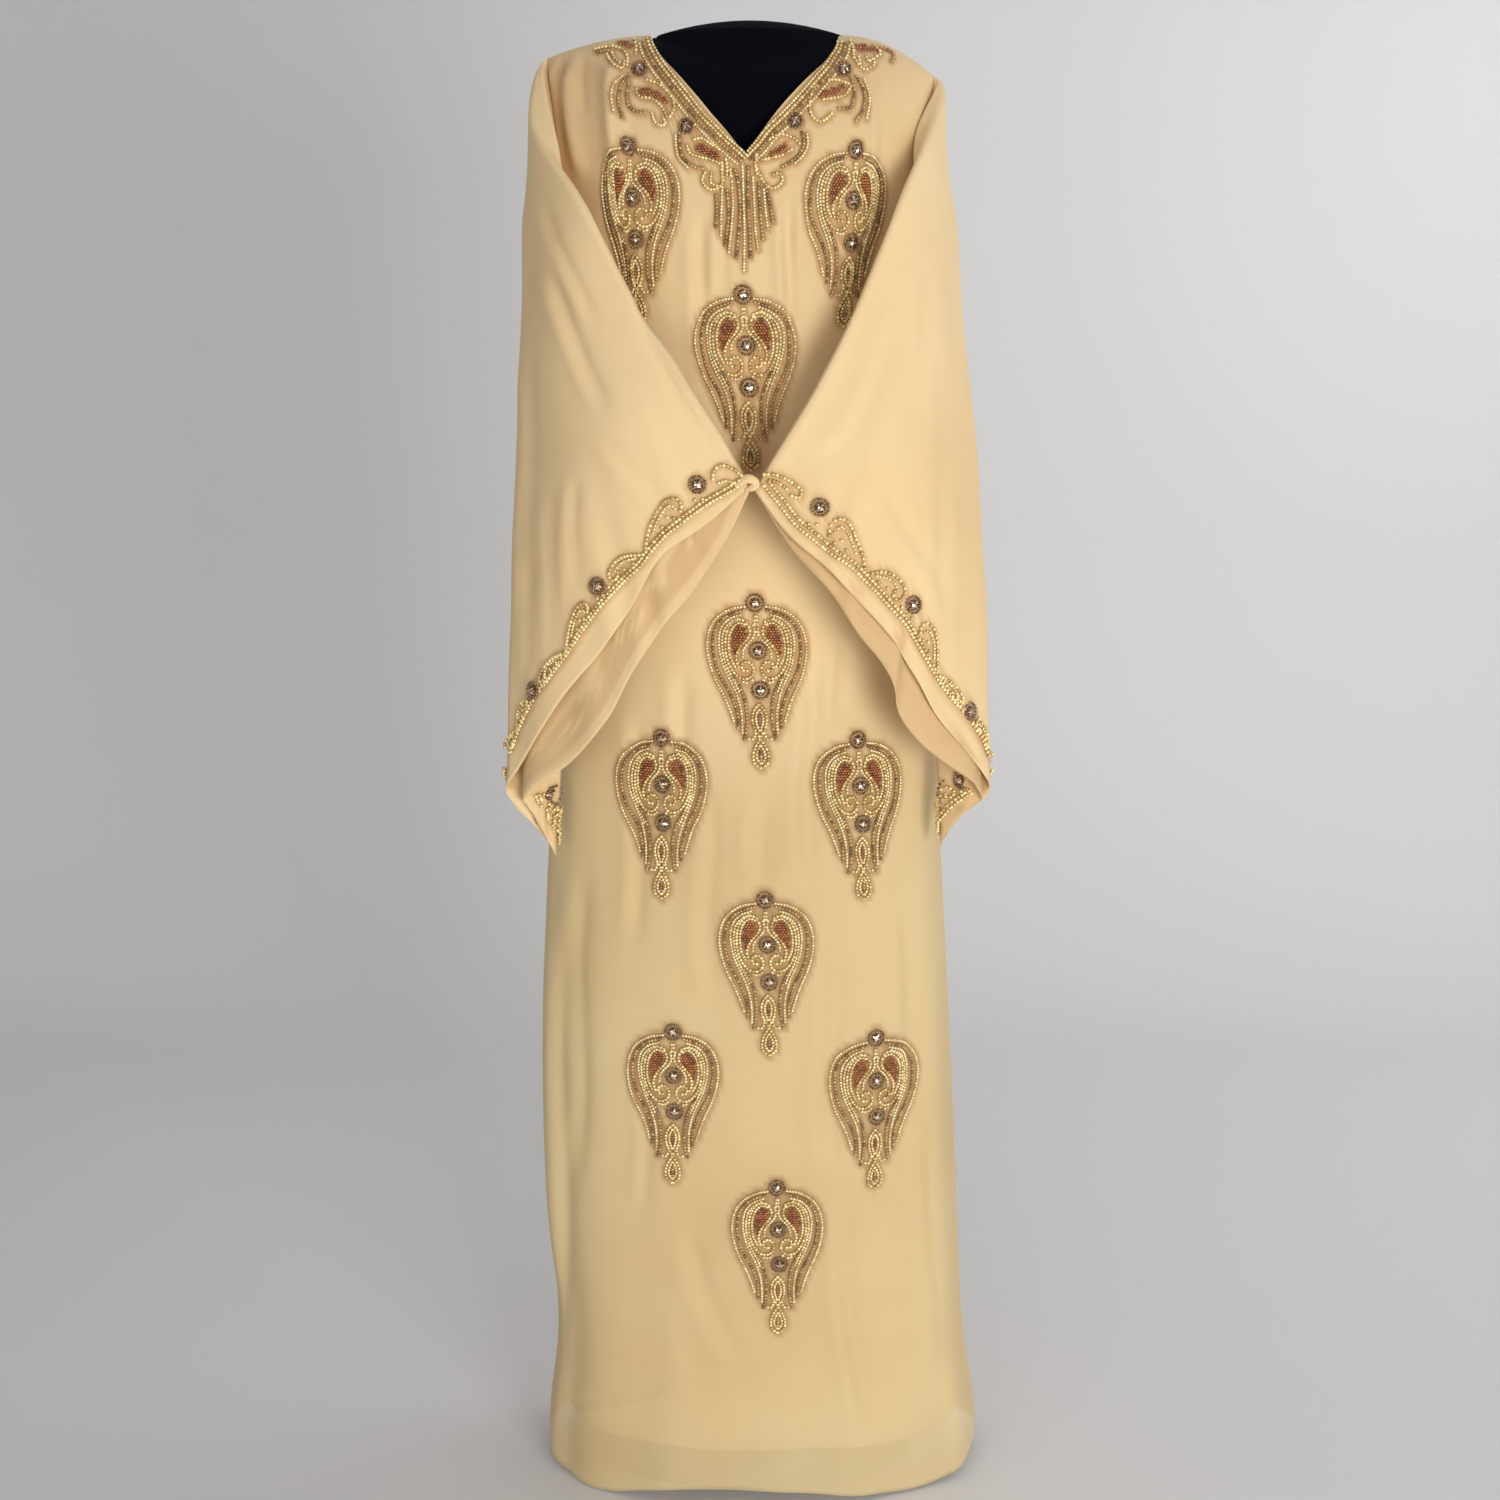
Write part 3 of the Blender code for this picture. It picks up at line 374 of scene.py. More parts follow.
PANEL_RIPPLES = {FRONT: Ripple(0.00045, 3, (25, 3), (95, 16)),
                 BACK: Ripple(0.0007, 5, (25, 3), (80, 14))}
SKIRT_RIPPLES = {FRONT: Ripple(0.0011, 7, (20, 1.5), (70, 5)),
                 BACK: Ripple(0.0011, 9, (20, 1.5), (70, 5))}
SKIRT_RIPPLE_TOP, SKIRT_RIPPLE_GROWTH = 0.9, 0.5
FOLD_GAIN = 2.2
FRONT_CREASES = (
    Crease(5, 2.6, 1.2, ((564, 44), (559, 85), (560, 128), (566, 168))),
    Crease(9, -4.6, 0.0, ((613, 54), (611, 90), (613, 130), (622, 190))),
    Crease(5, 1.0, 0.6, ((584, 48), (581, 80), (585, 118))),
    Crease(7, -2.8, 0.0, ((571, 56), (568, 96), (574, 140), (584, 186))),
    Crease(4, 1.0, 0.6, ((630, 118), (632, 150), (628, 190))),
    Crease(7, 1.6, 1.0, ((704, 205), (700, 250), (703, 320), (712, 390))),
    Crease(6, 1.5, 1.2, ((722, 212), (724, 255), (722, 300))),
    Crease(6, 2.2, 1.6, ((789, 196), (788, 240), (791, 300), (786, 360))),
    Crease(5, 1.0, 0.8, ((806, 190), (808, 225), (806, 270))),
    Crease(6, 1.4, 0.8, ((846, 60), (872, 80), (884, 128), (882, 176))),
    Crease(8, 1.6, 1.0, ((640, 700), (636, 770), (641, 860), (634, 960))),
    Crease(9, 1.8, 1.2, ((684, 660), (682, 730), (690, 800), (688, 880))),
    Crease(9, 1.6, 1.2, ((709, 770), (712, 850), (707, 930), (716, 1010))),
    Crease(9, 1.8, 1.2, ((812, 640), (815, 710), (806, 800), (812, 900))),
    Crease(8, 1.6, 1.0, ((846, 640), (842, 690), (838, 730))),
    Crease(10, 1.6, 1.4, ((764, 800), (760, 850), (766, 890))),
    Crease(9, 2.0, 1.4, ((586, 850), (578, 960), (582, 1090), (576, 1200))),
    Crease(8, 1.8, 1.0, ((566, 900), (562, 1050), (566, 1230), (561, 1380))),
    Crease(10, 1.8, 1.4, ((832, 900), (836, 1000), (828, 1110), (838, 1200))),
    Crease(9, 2.4, 1.4, ((845, 1180), (846, 1280), (853, 1340), (866, 1400), (874, 1450))),
    Crease(9, 2.0, 1.2, ((934, 1090), (932, 1190), (942, 1300), (950, 1400))),
    Crease(10, 1.6, 1.0, ((690, 1225), (700, 1280), (722, 1330), (745, 1368))),
    Crease(4, 1.5, 0.9, ((674, 1366), (700, 1369), (730, 1371), (762, 1375))),
    Crease(4, 1.0, 0.6, ((568, 1402), (610, 1400), (650, 1392), (680, 1378))),
    Crease(6, 1.0, 0.7, ((640, 1060), (648, 1140), (642, 1220))),
    Crease(7, 1.4, 0.8, ((905, 900), (910, 1000), (906, 1100))),
)
# On the back, which the picture doesn't show, the lines are in metres
BACK_CREASES = (
    Crease(0.008, 2.4, 1.4, ((-0.12, 1.30), (-0.10, 1.20), (-0.11, 1.08), (-0.09, 0.96))),
    Crease(0.008, 2.2, 1.2, ((0.10, 1.32), (0.09, 1.20), (0.11, 1.05), (0.10, 0.92))),
    Crease(0.009, 1.6, 1.0, ((0.02, 1.28), (0.01, 1.12), (0.03, 0.95))),
    Crease(0.006, 1.4, 0.8, ((-0.15, 1.47), (-0.12, 1.42), (-0.10, 1.34))),
    Crease(0.006, 1.4, 0.8, ((0.14, 1.46), (0.11, 1.41), (0.10, 1.33))),
    Crease(0.007, 1.4, 0.8, ((-0.05, 1.46), (-0.06, 1.38), (-0.05, 1.28))),
    Crease(0.012, 1.8, 1.4, ((-0.03, 0.84), (-0.02, 0.62), (-0.04, 0.40), (-0.03, 0.16))),
    Crease(0.014, 2.2, 1.8, ((-0.15, 0.92), (-0.14, 0.70), (-0.16, 0.44), (-0.17, 0.10))),
    Crease(0.013, 1.6, 1.4, ((-0.09, 0.66), (-0.10, 0.46), (-0.09, 0.20), (-0.11, 0.03))),
    Crease(0.013, 2.0, 1.6, ((0.05, 0.88), (0.06, 0.66), (0.04, 0.42), (0.06, 0.22))),
    Crease(0.014, 2.2, 1.8, ((0.13, 0.94), (0.12, 0.72), (0.14, 0.46), (0.15, 0.12))),
    Crease(0.012, 1.6, 1.2, ((0.18, 0.60), (0.19, 0.40), (0.19, 0.08))),
)
print("creases on the front", len(FRONT_CREASES), "and on the back", len(BACK_CREASES))

# %% [markdown]
# ## Front and back
# Each panel is a grid of points from the neck and shoulders down to the hem, finer than the
# solid's, moved along its normals by the folds. Towards the seams the folds die away, so the
# panels meet. A Solidify modifier gives the cloth its thin edge. The number stored on every
# point says how sheer the cloth is there: the bodice is lined edge to edge, and the skirt's
# outer layer hangs free.

# %% Cloth helpers
def grid_mesh(name, grid, closed=False):
    """A mesh from rows of points, its faces turned outwards by the given order."""
    rows, columns = grid.shape[:2]
    index = np.arange(rows * columns).reshape(rows, columns)
    ahead = np.roll(index, -1, axis=1) if closed else index[:, 1:]
    here = index if closed else index[:, :-1]
    faces = np.stack((here[:-1], here[1:], ahead[1:], ahead[:-1]), -1).reshape(-1, 4)
    mesh = bpy.data.meshes.new(name)
    mesh.from_pydata(grid.reshape(-1, 3).tolist(), [], faces.tolist())
    mesh.shade_smooth()
    made = bpy.data.objects.new(name, mesh)
    bpy.context.collection.objects.link(made)
    return made


def store(made, name, values):
    """One number on each point of a piece, which its material can read."""
    layer = made.data.attributes.new(name, "FLOAT", "POINT")
    layer.data.foreach_set("value", np.asarray(values, np.float32).ravel())


def apply_modifiers(made):
    """Turn a piece's modifiers into plain geometry."""
    bpy.ops.object.select_all(action="DESELECT")
    made.select_set(True)
    bpy.context.view_layer.objects.active = made
    for modifier in list(made.modifiers):
        bpy.ops.object.modifier_apply(modifier=modifier.name)


def thicken(made, thickness):
    """Give a single layer of cloth its thickness, inwards."""
    wall = made.modifiers.new("cloth", "SOLIDIFY")
    wall.thickness = thickness
    wall.offset = -1
    apply_modifiers(made)
    area = sum(p.area for p in made.data.polygons)
    print(made.name, len(made.data.polygons), "faces, one layer", round(area / 2, 3), "m2")


CLOTH_THIN, SEAM_ROUNDS = 0.0006, 8
# Folds die away this far from the side seams, in parts across, and from the top, in metres
SEAM_CALM, TOP_CALM = 0.07, 0.02
# The skirt turns sheer from this height, over this fall
SHEER_TOP, SHEER_FALL = 0.98, 0.28
COLUMN_SPREAD = 1.15


def panel_grid(face, columns, upper_rows, lower_rows):
    """Places across and heights of a panel's grid."""
    side = np.linspace(-1, 1, columns)
    across = np.sign(side) * np.abs(side) ** COLUMN_SPREAD
    x = body_point(face, across, np.full(columns, SHOULDER_TOP))[..., 0]
    top = neck_edge(face, x)
    seam = top
    for _ in range(SEAM_ROUNDS):
        seam = shoulder_height(body_point(face, across, seam)[..., 0])
    top = np.where(np.abs(x) >= np.where(x < 0, NECK_SIDES[LEFT], NECK_SIDES[RIGHT]), seam, top)
    heights = [top + (ARMPIT - top) * (j / upper_rows) ** ARM_SPREAD for j in range(upper_rows + 1)]
    heights += [ARMPIT + (hem_height(face, across) - ARMPIT) * (j / lower_rows) ** LOW_SPREAD
                for j in range(1, lower_rows + 1)]
    z = np.array(heights)
    edge = np.where(across < 0, armhole_edge(z, LEFT), armhole_edge(z, RIGHT))
    return across * edge, z, edge, top


def cloth_lift(face, z, points):
    """How far the folds and ripples move the body's cloth along its normals."""
    if face == FRONT:
        lift = FOLD_GAIN * crease_lift(picture(points), FRONT_CREASES)
    else:
        lift = FOLD_GAIN * crease_lift(points[..., [0, 2]], BACK_CREASES)
    panel, skirt = PANEL_RIPPLES[face], SKIRT_RIPPLES[face]
    lift += panel.height * ripples(points[..., 0], z, panel)
    low = step((SKIRT_RIPPLE_TOP - z) / SKIRT_RIPPLE_GROWTH)
    return lift + skirt.height * low * ripples(points[..., 0], z, skirt)


def panel_cloth(face, across, z, edge=1.0, top=9.0):
    """Finished points of a panel's cloth, folds and all."""
    points = body_point(face, across, z)
    inside = step((edge - np.abs(across)) / SEAM_CALM) * step((top - z) / TOP_CALM)
    lift = cloth_lift(face, z, points) * inside
    return points + body_normal(face, across, z) * lift[..., None]


def make_panel(name, node, face, columns, upper_rows, lower_rows):
    """The front or the back, with its folds, its sheerness and its thickness."""
    across, z, edge, top = panel_grid(face, columns, upper_rows, lower_rows)
    grid = panel_cloth(face, across, z, edge, top)
    grid[..., 1] = face * np.maximum(face * grid[..., 1], 0.0)
    made = grid_mesh(name, grid if face == FRONT else grid[:, ::-1])
    store(made, "sheer", step((SHEER_TOP - (z if face == FRONT else z[:, ::-1])) / SHEER_FALL))
    thicken(made, CLOTH_THIN)
    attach(made, "root")
    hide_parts(node)
    return made


abaya_front = make_panel("abaya_front", "body_front", FRONT, 151, 60, 190)
abaya_back = make_panel("abaya_back", "body_back", BACK, 121, 40, 120)

# %% [markdown]
# ## Lining
# The lining is a plain opaque tube inside the skirt. It hangs closer to the legs than the
# outer layer and ends about 45 mm above the hem, so the georgette shows sheer below it and
# along both sides.

# %% Lining
LINING_TOP, LINING_FOOT, LINING_IN, LINING_HANG = 0.930, 0.058, 0.021, 0.25
LINING_SEAT, LINING_MIDDLE, LINING_DEPTH, WALL = 0.0011, 0.6, 0.11, 0.0013
LINING_RIPPLE = Ripple(0.0022, 21, (4, 1), (13, 4))
LINING_COLUMNS, LINING_ROWS = 220, 70
# The wave of the lining's hem: its height, pace and start, and where it fades in
LINING_WAVE, LINING_PACE, LINING_START, WAVE_TOP, WAVE_GROWTH = 0.004, 12.6, 1.0, 0.2, 0.15


def lining_point(turn, z):
    """A point of the lining; turn runs from 0 to 1 all round from the left side seam."""
    front = turn < 0.5
    across = np.where(front, -1 + 4 * turn, 3 - 4 * turn)
    point = np.where(front[..., None], body_point(FRONT, across, z, False),
                     body_point(BACK, across, z, False))
    pull = np.stack((point[..., 0] / half_width(across, z) ** 2, point[..., 1] / LINING_DEPTH ** 2,
                     np.zeros_like(z)), -1)
    aside = LINING_MIDDLE + (1 - LINING_MIDDLE) * across ** 2
    hang = np.minimum(1.0, (LINING_TOP - z) / LINING_HANG)
    wave = LINING_RIPPLE.height * hang * ripples(turn * 2 * math.pi, z, LINING_RIPPLE)
    fold = np.where(front, cloth_lift(FRONT, z, point), cloth_lift(BACK, z, point))
    inwards = WALL + LINING_SEAT + hang * LINING_IN * aside - wave - np.minimum(fold, 0.0)
    return point - unit(pull) * inwards[..., None]


turns, heights = np.meshgrid(np.arange(LINING_COLUMNS) / LINING_COLUMNS,
                             np.linspace(LINING_TOP, LINING_FOOT, LINING_ROWS))
heights = heights + (LINING_WAVE * np.sin(turns * LINING_PACE + LINING_START)
                     * step((WAVE_TOP - heights) / WAVE_GROWTH))
lining = grid_mesh("skirt_lining", lining_point(turns, heights), closed=True)
thicken(lining, CLOTH_THIN)
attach(lining, "root")
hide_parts("lining_skirt")

# %% [markdown]
# ## Sleeves
# Each sleeve is a wide tube. It leaves the armhole sideways, folds forward over the front and
# hangs flat, its two layers turning back round one soft vertical fold at the outside. A row
# of the table is one ring of the tube: its upper edge, the outer fold and the underarm seam.
# Rings between the rows come from the same smooth curve as before.

# %% Rings of a sleeve
Sleeve = namedtuple("Sleeve", "over fold under bow arch gap swell edge over_turn under_turn")
SLEEVES = {
    LEFT: (
        Sleeve((-0.2150, -0.0581, 1.450), (-0.2265, -0.0143, 1.375), (-0.2120, 0.0023, 1.268),
               0.000, 0.000, 0.0646, 0.946, 0.0075, -41.3, -69.3),
        Sleeve((-0.1600, -0.1340, 1.365), (-0.2290, -0.0360, 1.270), (-0.2165, 0.0051, 1.2308),
               0.018, 0.000, 0.0184, 0.6, 0.0064, 29, -53),
        Sleeve((-0.1040, -0.1600, 1.266), (-0.2350, -0.0620, 1.120), (-0.2140, -0.0180, 1.080),
               0.026, 0.014, 0.0120, 0.6, 0.0051, 80, -65),
        Sleeve((-0.0560, -0.1820, 1.192), (-0.2410, -0.0880, 0.965), (-0.1930, -0.0660, 0.895),
               0.034, 0.030, 0.0110, 0.6, 0.0032, 85, -75),
        Sleeve((-0.0125, -0.1880, 1.103), (-0.2480, -0.1080, 0.803), (-0.1995, -0.0840, 0.723),
               0.032, 0.041, 0.0120, 0.6, 0.0032, 85, -85)),
    RIGHT: (
        Sleeve((0.1915, -0.0320, 1.470), (0.2030, -0.0149, 1.375), (0.1980, 0.0166, 1.268),
               0.000, 0.000, 0.0535, 0.868, 0.0098, -29.9, -67.8),
        Sleeve((0.1470, -0.1273, 1.377), (0.2140, -0.0360, 1.270), (0.2040, 0.0133, 1.2444),
               0.018, 0.000, 0.0163, 0.6, 0.0060, 46.8, -40),
        Sleeve((0.1020, -0.1580, 1.275), (0.2290, -0.0620, 1.120), (0.2050, -0.0178, 1.080),
               0.026, 0.012, 0.0120, 0.6, 0.0035, 80, -65),
        Sleeve((0.0600, -0.1820, 1.192), (0.2390, -0.0880, 0.965), (0.1890, -0.0660, 0.895),
               0.034, 0.026, 0.0110, 0.6, 0.0032, 85, -75),
        Sleeve((0.0125, -0.1880, 1.103), (0.2460, -0.1080, 0.797), (0.1960, -0.0840, 0.730),
               0.032, 0.034, 0.0120, 0.6, 0.0032, 85, -85)),
}
SLEEVE_PLACES = (0.0, 0.06, 0.24, 0.43, 0.62, 0.81, 1.0)
CAP_STEP, CAP_TURN, CAP_ROUND, CAP_DROP, CAP_DROP_WIDE = 0.006, (0.6, 0.9), 0.0030, 0.004, 4.0
EDGE_RADIUS, REAR_DROP, LAYER_ENDS = 0.0032, 0.042, 0.012
LAYER = 56           # points down each layer of a sleeve
RINGS = 150


def layer_curve(row, place):
    """A section's front layer, from its upper edge round the fold to the underarm."""
    over, fold, under = (np.array(p) for p in (row.over, row.fold, row.under))
    bow = np.array((0.0, -row.bow, row.arch))
    near = np.array((0.0, -row.bow * 0.7, row.arch * 0.25))
    back = np.array((0.02 * (over[0] - fold[0]), 0.0012, 0.0))
    return smooth((0.0, 0.33, 0.60, 0.69, 0.84, 1.0),
                  [over, over + (fold - over) * 0.42 + bow, over + (fold - over) * 0.80 + near,
                   fold, (fold + under) / 2 + back, under], place)


def section_ring(side, row, last):
    """The closed ring of one section: over, front layer, under, rear layer back up."""
    place = LAYER_ENDS + (1 - 2 * LAYER_ENDS) * np.linspace(0, 1, LAYER - 1)
    turn = np.radians(row.over_turn + (row.under_turn - row.over_turn) * place)
    across = np.stack((-side * np.cos(turn), np.sin(turn), np.zeros_like(turn)), -1)
    ends_gap = 2 * (EDGE_RADIUS * (1 - place) + row.edge * place)
    opened = ends_gap + (row.gap - ends_gap) * np.sin(math.pi * place) ** row.swell
    front = layer_curve(row, place)
    rear = front + across * opened[:, None]
    if last:
        rear[:, 2] -= REAR_DROP * np.sin(math.pi * np.minimum(place / 0.66, 1.0)) ** 0.9
    ends = []
    for end, inside, radius in ((0, 3, EDGE_RADIUS), (-1, -4, row.edge)):
        middle = (front[end] + rear[end]) / 2
        ends.append(middle + unit(middle - (front[inside] + rear[inside]) / 2) * radius)
    return np.concatenate(([ends[0]], front, [ends[1]], rear[::-1]))


def sleeve_keys(side):
    """The armhole's edge, the cap that leaves it, and the sections of the table."""
    corner = shoulder_height(side * half_width(side, SHOULDER_TOP))
    heights = corner + (ARMPIT - corner) * (np.arange(LAYER + 1) / LAYER) ** ARM_SPREAD
    back = body_point(BACK, side * armhole_edge(heights, side), heights)
    front = body_point(FRONT, side * armhole_edge(heights, side), heights)[-2:0:-1]
    start = np.concatenate((back, front))
    faces = np.concatenate(((0,), np.ones(LAYER - 1), (0,), -np.ones(LAYER - 1)))
    forward = np.zeros(len(start))
    forward[LAYER:] = np.sin(math.pi * np.arange(LAYER) / LAYER) ** 0.5
    cap = start + CAP_STEP * np.stack((side * (1 - CAP_TURN[0] * forward), -CAP_TURN[1] * forward,
                                       np.zeros_like(forward)), -1)
    from_top = np.minimum(np.arange(len(cap)), len(cap) - np.arange(len(cap)))
    cap[:, 2] -= CAP_DROP * np.exp(-(from_top / CAP_DROP_WIDE) ** 2)
    cap[:, 1] = np.where(faces == 0, cap[:, 1], faces * np.maximum(faces * cap[:, 1], CAP_ROUND))
    rows = SLEEVES[side]
    return [start, cap] + [section_ring(side, row, row is rows[-1]) for row in rows]


def grid_normals(grid):
    """Normals of a closed grid of rings, pointing out of the tube."""
    down = np.gradient(grid, axis=0)
    around = np.roll(grid, -1, axis=1) - np.roll(grid, 1, axis=1)
    return unit(np.cross(down, around))


SLEEVE_CREASES = {
    LEFT: (Crease(7, 2.6, 1.6, ((546, 262), (566, 318), (588, 372), (612, 420))),
           Crease(6, 1.6, 1.0, ((541, 190), (556, 240), (580, 290), (600, 330))),
           Crease(5, 2.0, 1.4, ((528, 330), (532, 430), (527, 540), (531, 630))),
           Crease(5, 2.2, 1.4, ((530, 540), (528, 590), (531, 640), (545, 700))),
           Crease(5, 1.6, 1.2, ((551, 480), (549, 560), (551, 640), (560, 680))),
           Crease(5, 1.6, 1.0, ((575, 470), (572, 540), (576, 600))),
           Crease(7, 1.8, 1.2, ((600, 430), (630, 470), (662, 500), (700, 520))),
           Crease(5, 2.8, 2.2, ((730, 466), (706, 438), (679, 398), (653, 345), (628, 290)))),
    RIGHT: (Crease(8, 1.8, 1.2, ((944, 400), (946, 480), (943, 560), (952, 640))),
            Crease(6, 1.8, 1.2, ((962, 470), (966, 560), (962, 650), (970, 720))),
            Crease(9, 1.6, 1.0, ((900, 300), (880, 380), (850, 440), (812, 476))),
            Crease(8, 1.4, 1.0, ((930, 250), (926, 340), (912, 430))),
            Crease(8, 1.6, 1.0, ((880, 470), (900, 520), (930, 560), (950, 610)))),
}


# The rim's run in the picture, from the tack down the front layer, round the fold to the
# underarm, back round the fold and up the rear layer to the tack
RIMS = {
    LEFT: (((751, 484), (723, 511), (691, 537), (674, 545), (659, 556), (649, 574), (640, 594),
            (622, 621), (602, 652),
            (588, 668), (573, 681), (561, 698), (548, 719), (533, 746), (519, 764), (511, 772)),
           ((511, 772), (508, 787), (514, 802), (521, 815), (531, 824), (540, 832), (547, 841),
            (555, 855)),
           ((556, 855), (552, 846), (548, 840), (541, 830), (532, 813), (526, 802), (526, 795)),
           ((526, 795), (538, 789), (571, 761), (585, 749), (597, 737), (610, 718), (618, 700),
            (624, 686), (640, 661),
            (666, 621), (687, 601), (704, 575), (721, 549), (736, 523), (751, 485))),
    RIGHT: (((753, 487), (774, 518), (796, 545), (813, 555), (829, 570), (842, 583), (854, 598),
             (872, 615), (885, 629),
             (895, 644), (906, 656), (914, 672), (921, 691), (931, 709), (946, 728), (963, 747),
             (984, 768)),
            ((984, 768), (988, 779), (987, 790), (981, 799), (969, 811), (955, 823), (945, 836),
             (940, 845)),
            ((939, 845), (943, 837), (952, 825), (966, 812), (977, 801), (980, 795), (980, 787)),
            ((980, 787), (963, 773), (946, 765), (933, 755), (917, 742), (907, 731), (900, 719),
             (897, 706), (895, 692),
             (891, 676), (884, 662), (872, 651), (857, 634), (847, 618), (841, 605), (828, 588),
             (813, 572), (801, 562),
             (790, 547), (776, 526), (754, 489))),
}
RIM_FOLD, RIM_REACH, RIM_WAVE, SLEEVE_GAIN = 0.655, 0.34, 0.0016, 1.5
SLEEVE_RIPPLES = {LEFT: Ripple(0.0005, 30, (20, 6), (90, 40)),
                  RIGHT: Ripple(0.0005, 32, (20, 6), (90, 40))}
SLEEVE_CALM, RUFFLE_CALM = 0.12, 8
# Painted shade on the rear layers near the rim, inside the cuffs, deeper on the right one, which lies in
# shadow
CUFF_PAINTED_SHADE, CUFF_SHADE_START, CUFF_SHADE_GROWTH = {LEFT: 0.20, RIGHT: 0.56}, 0.8, 6


def along_line(line, parts):
    """Places on a line of pixels, by parts of the way along it."""
    line = np.array(line, float)
    run = run_along(line)
    return np.stack([np.interp(parts * run[-1], run, line[:, k]) for k in (0, 1)], -1)


def nearest_on(line, points):
    """The closest place on a line of pixels to each point."""
    line = np.array(line, float)
    way = line[1:] - line[:-1]
    part = np.clip(np.sum((points[:, None] - line[:-1]) * way, -1) / np.sum(way * way, -1), 0, 1)
    spots = line[:-1] + part[..., None] * way
    best = np.argmin(np.linalg.norm(points[:, None] - spots, axis=-1), axis=1)
    return spots[np.arange(len(points)), best]


def rim_shift(grid, side):
    """How far each point of the last ring moves for the rim to run as drawn."""
    now = picture(grid[-1])
    fold = round(RIM_FOLD * LAYER)
    stops = (0, fold, LAYER, 2 * LAYER - fold, 2 * LAYER)
    target = np.zeros_like(now)
    for line, first, last in zip(RIMS[side], stops[:-1], stops[1:]):
        columns = np.arange(first, last + 1) % len(now)
        run = run_along(now[columns])
        even = along_line(line, run / run[-1])
        middle = np.sin(math.pi * run / run[-1])[:, None] ** 0.5
        target[columns] = even + (nearest_on(line, now[columns]) - even) * middle
    move = (target - now) * (camera_depth(grid[-1]) / FOCAL)[:, None]
    return np.stack((move[:, 0], np.zeros(len(now)), -move[:, 1] / math.cos(TILT)), -1)


def make_sleeve(name, node, side):
    """A sleeve's cloth, and its finished grid and normals for the beads."""
    grid = smooth(SLEEVE_PLACES, sleeve_keys(side), np.linspace(0, 1, RINGS))
    near_rim = step((np.linspace(0, 1, RINGS) - 1 + RIM_REACH) / RIM_REACH)[:, None]
    shift = rim_shift(grid, side)
    shift = sum(np.roll(shift, k, axis=0) for k in range(-2, 3)) / 5
    grid = grid + near_rim[..., None] ** 2 * shift
    normals = grid_normals(grid) * side
    lift = SLEEVE_GAIN * crease_lift(picture(grid), SLEEVE_CREASES[side])
    ripple = SLEEVE_RIPPLES[side]
    lift += ripple.height * ripples(grid[..., 0] + grid[..., 1], grid[..., 2], ripple)
    down = np.linspace(0, 1, RINGS)[:, None]
    column = np.arange(2 * LAYER)
    place = column[None] * 2 * math.pi / (2 * LAYER)
    ruffle = RIM_WAVE * near_rim ** 2 * (np.sin(15 * place + side) + 0.6 * np.sin(23 * place + 1.3))
    ruffle = ruffle * np.minimum(1, np.minimum(column, 2 * LAYER - column) / RUFFLE_CALM)[None]
    grid = grid + normals * (lift * step(down / SLEEVE_CALM) + ruffle)[..., None]
    made = grid_mesh(name, grid if side == RIGHT else grid[::-1], closed=True)
    # Painted shade inside the cuff, on the rear layer near its rim
    rear = step((column - CUFF_SHADE_START * LAYER) / CUFF_SHADE_GROWTH) * near_rim ** 2 * CUFF_PAINTED_SHADE[side]
    store(made, "ground", rear if side == RIGHT else rear[::-1])
    thicken(made, CLOTH_THIN)
    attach(made, "root")
    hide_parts(node)
    return made, (grid, grid_normals(grid) * side)


sleeve_left, sleeve_left_surface = make_sleeve("abaya_sleeve_left", "sleeve_left", LEFT)
sleeve_right, sleeve_right_surface = make_sleeve("abaya_sleeve_right", "sleeve_right", RIGHT)

# %% [markdown]
# ## Beads
# The beadwork is sewn on by hand, row by row, over a drawn pattern. Each row here is a line of
# control points; a smooth curve runs through them and beads sit along it at an even spacing.
# A bead is a small barrel of 24 triangles, so one motif of 700 beads stays light, and all beads
# of a motif are one mesh with a material for each colour.

# %% Bead shapes and kinds
Kind = namedtuple("Kind", "slot size spacing")
KINDS = {"pale": Kind(0, 3.40, 3.20), "gold": Kind(1, 4.00, 3.60), "bronze": Kind(2, 4.10, 3.65),
         "copper": Kind(3, 3.20, 3.00), "fringe": Kind(2, 4.60, 3.90),
         "brown": Kind(6, 3.40, 3.10), "cord": Kind(0, 4.30, 4.00), "rope": Kind(1, 4.50, 4.10)}
# Slots of a stone's facets: a bright and a dark copy of one crystal, as painted glints and painted dark
# reflections
CRYSTAL_GLINT_FACET, CRYSTAL_DARK_REFLECTION_FACET = 4, 5
BEAD_SIDES, BEAD_LEVELS = 6, (54, 126)
BEAD_FLAT = 0.86


def bead_shape():
    """Points and triangles of one bead of diameter 1, its hole along X."""
    points = [(0.5, 0, 0)]
    for level in BEAD_LEVELS:
        away = 0.5 * math.sin(math.radians(level))
        points += [(0.5 * math.cos(math.radians(level)), away * math.cos(a), away * math.sin(a))
                   for a in np.arange(BEAD_SIDES) * 2 * math.pi / BEAD_SIDES]
    points.append((-0.5, 0, 0))
    last = len(points) - 1
    faces = []
    for i in range(BEAD_SIDES):
        j = (i + 1) % BEAD_SIDES
        faces += [(0, 1 + i, 1 + j), (last, last - BEAD_SIDES + j, last - BEAD_SIDES + i)]
        faces += [(1 + i, 1 + BEAD_SIDES + i, 1 + BEAD_SIDES + j),
                  (1 + i, 1 + BEAD_SIDES + j, 1 + j)]
    return np.array(points), np.array(faces)


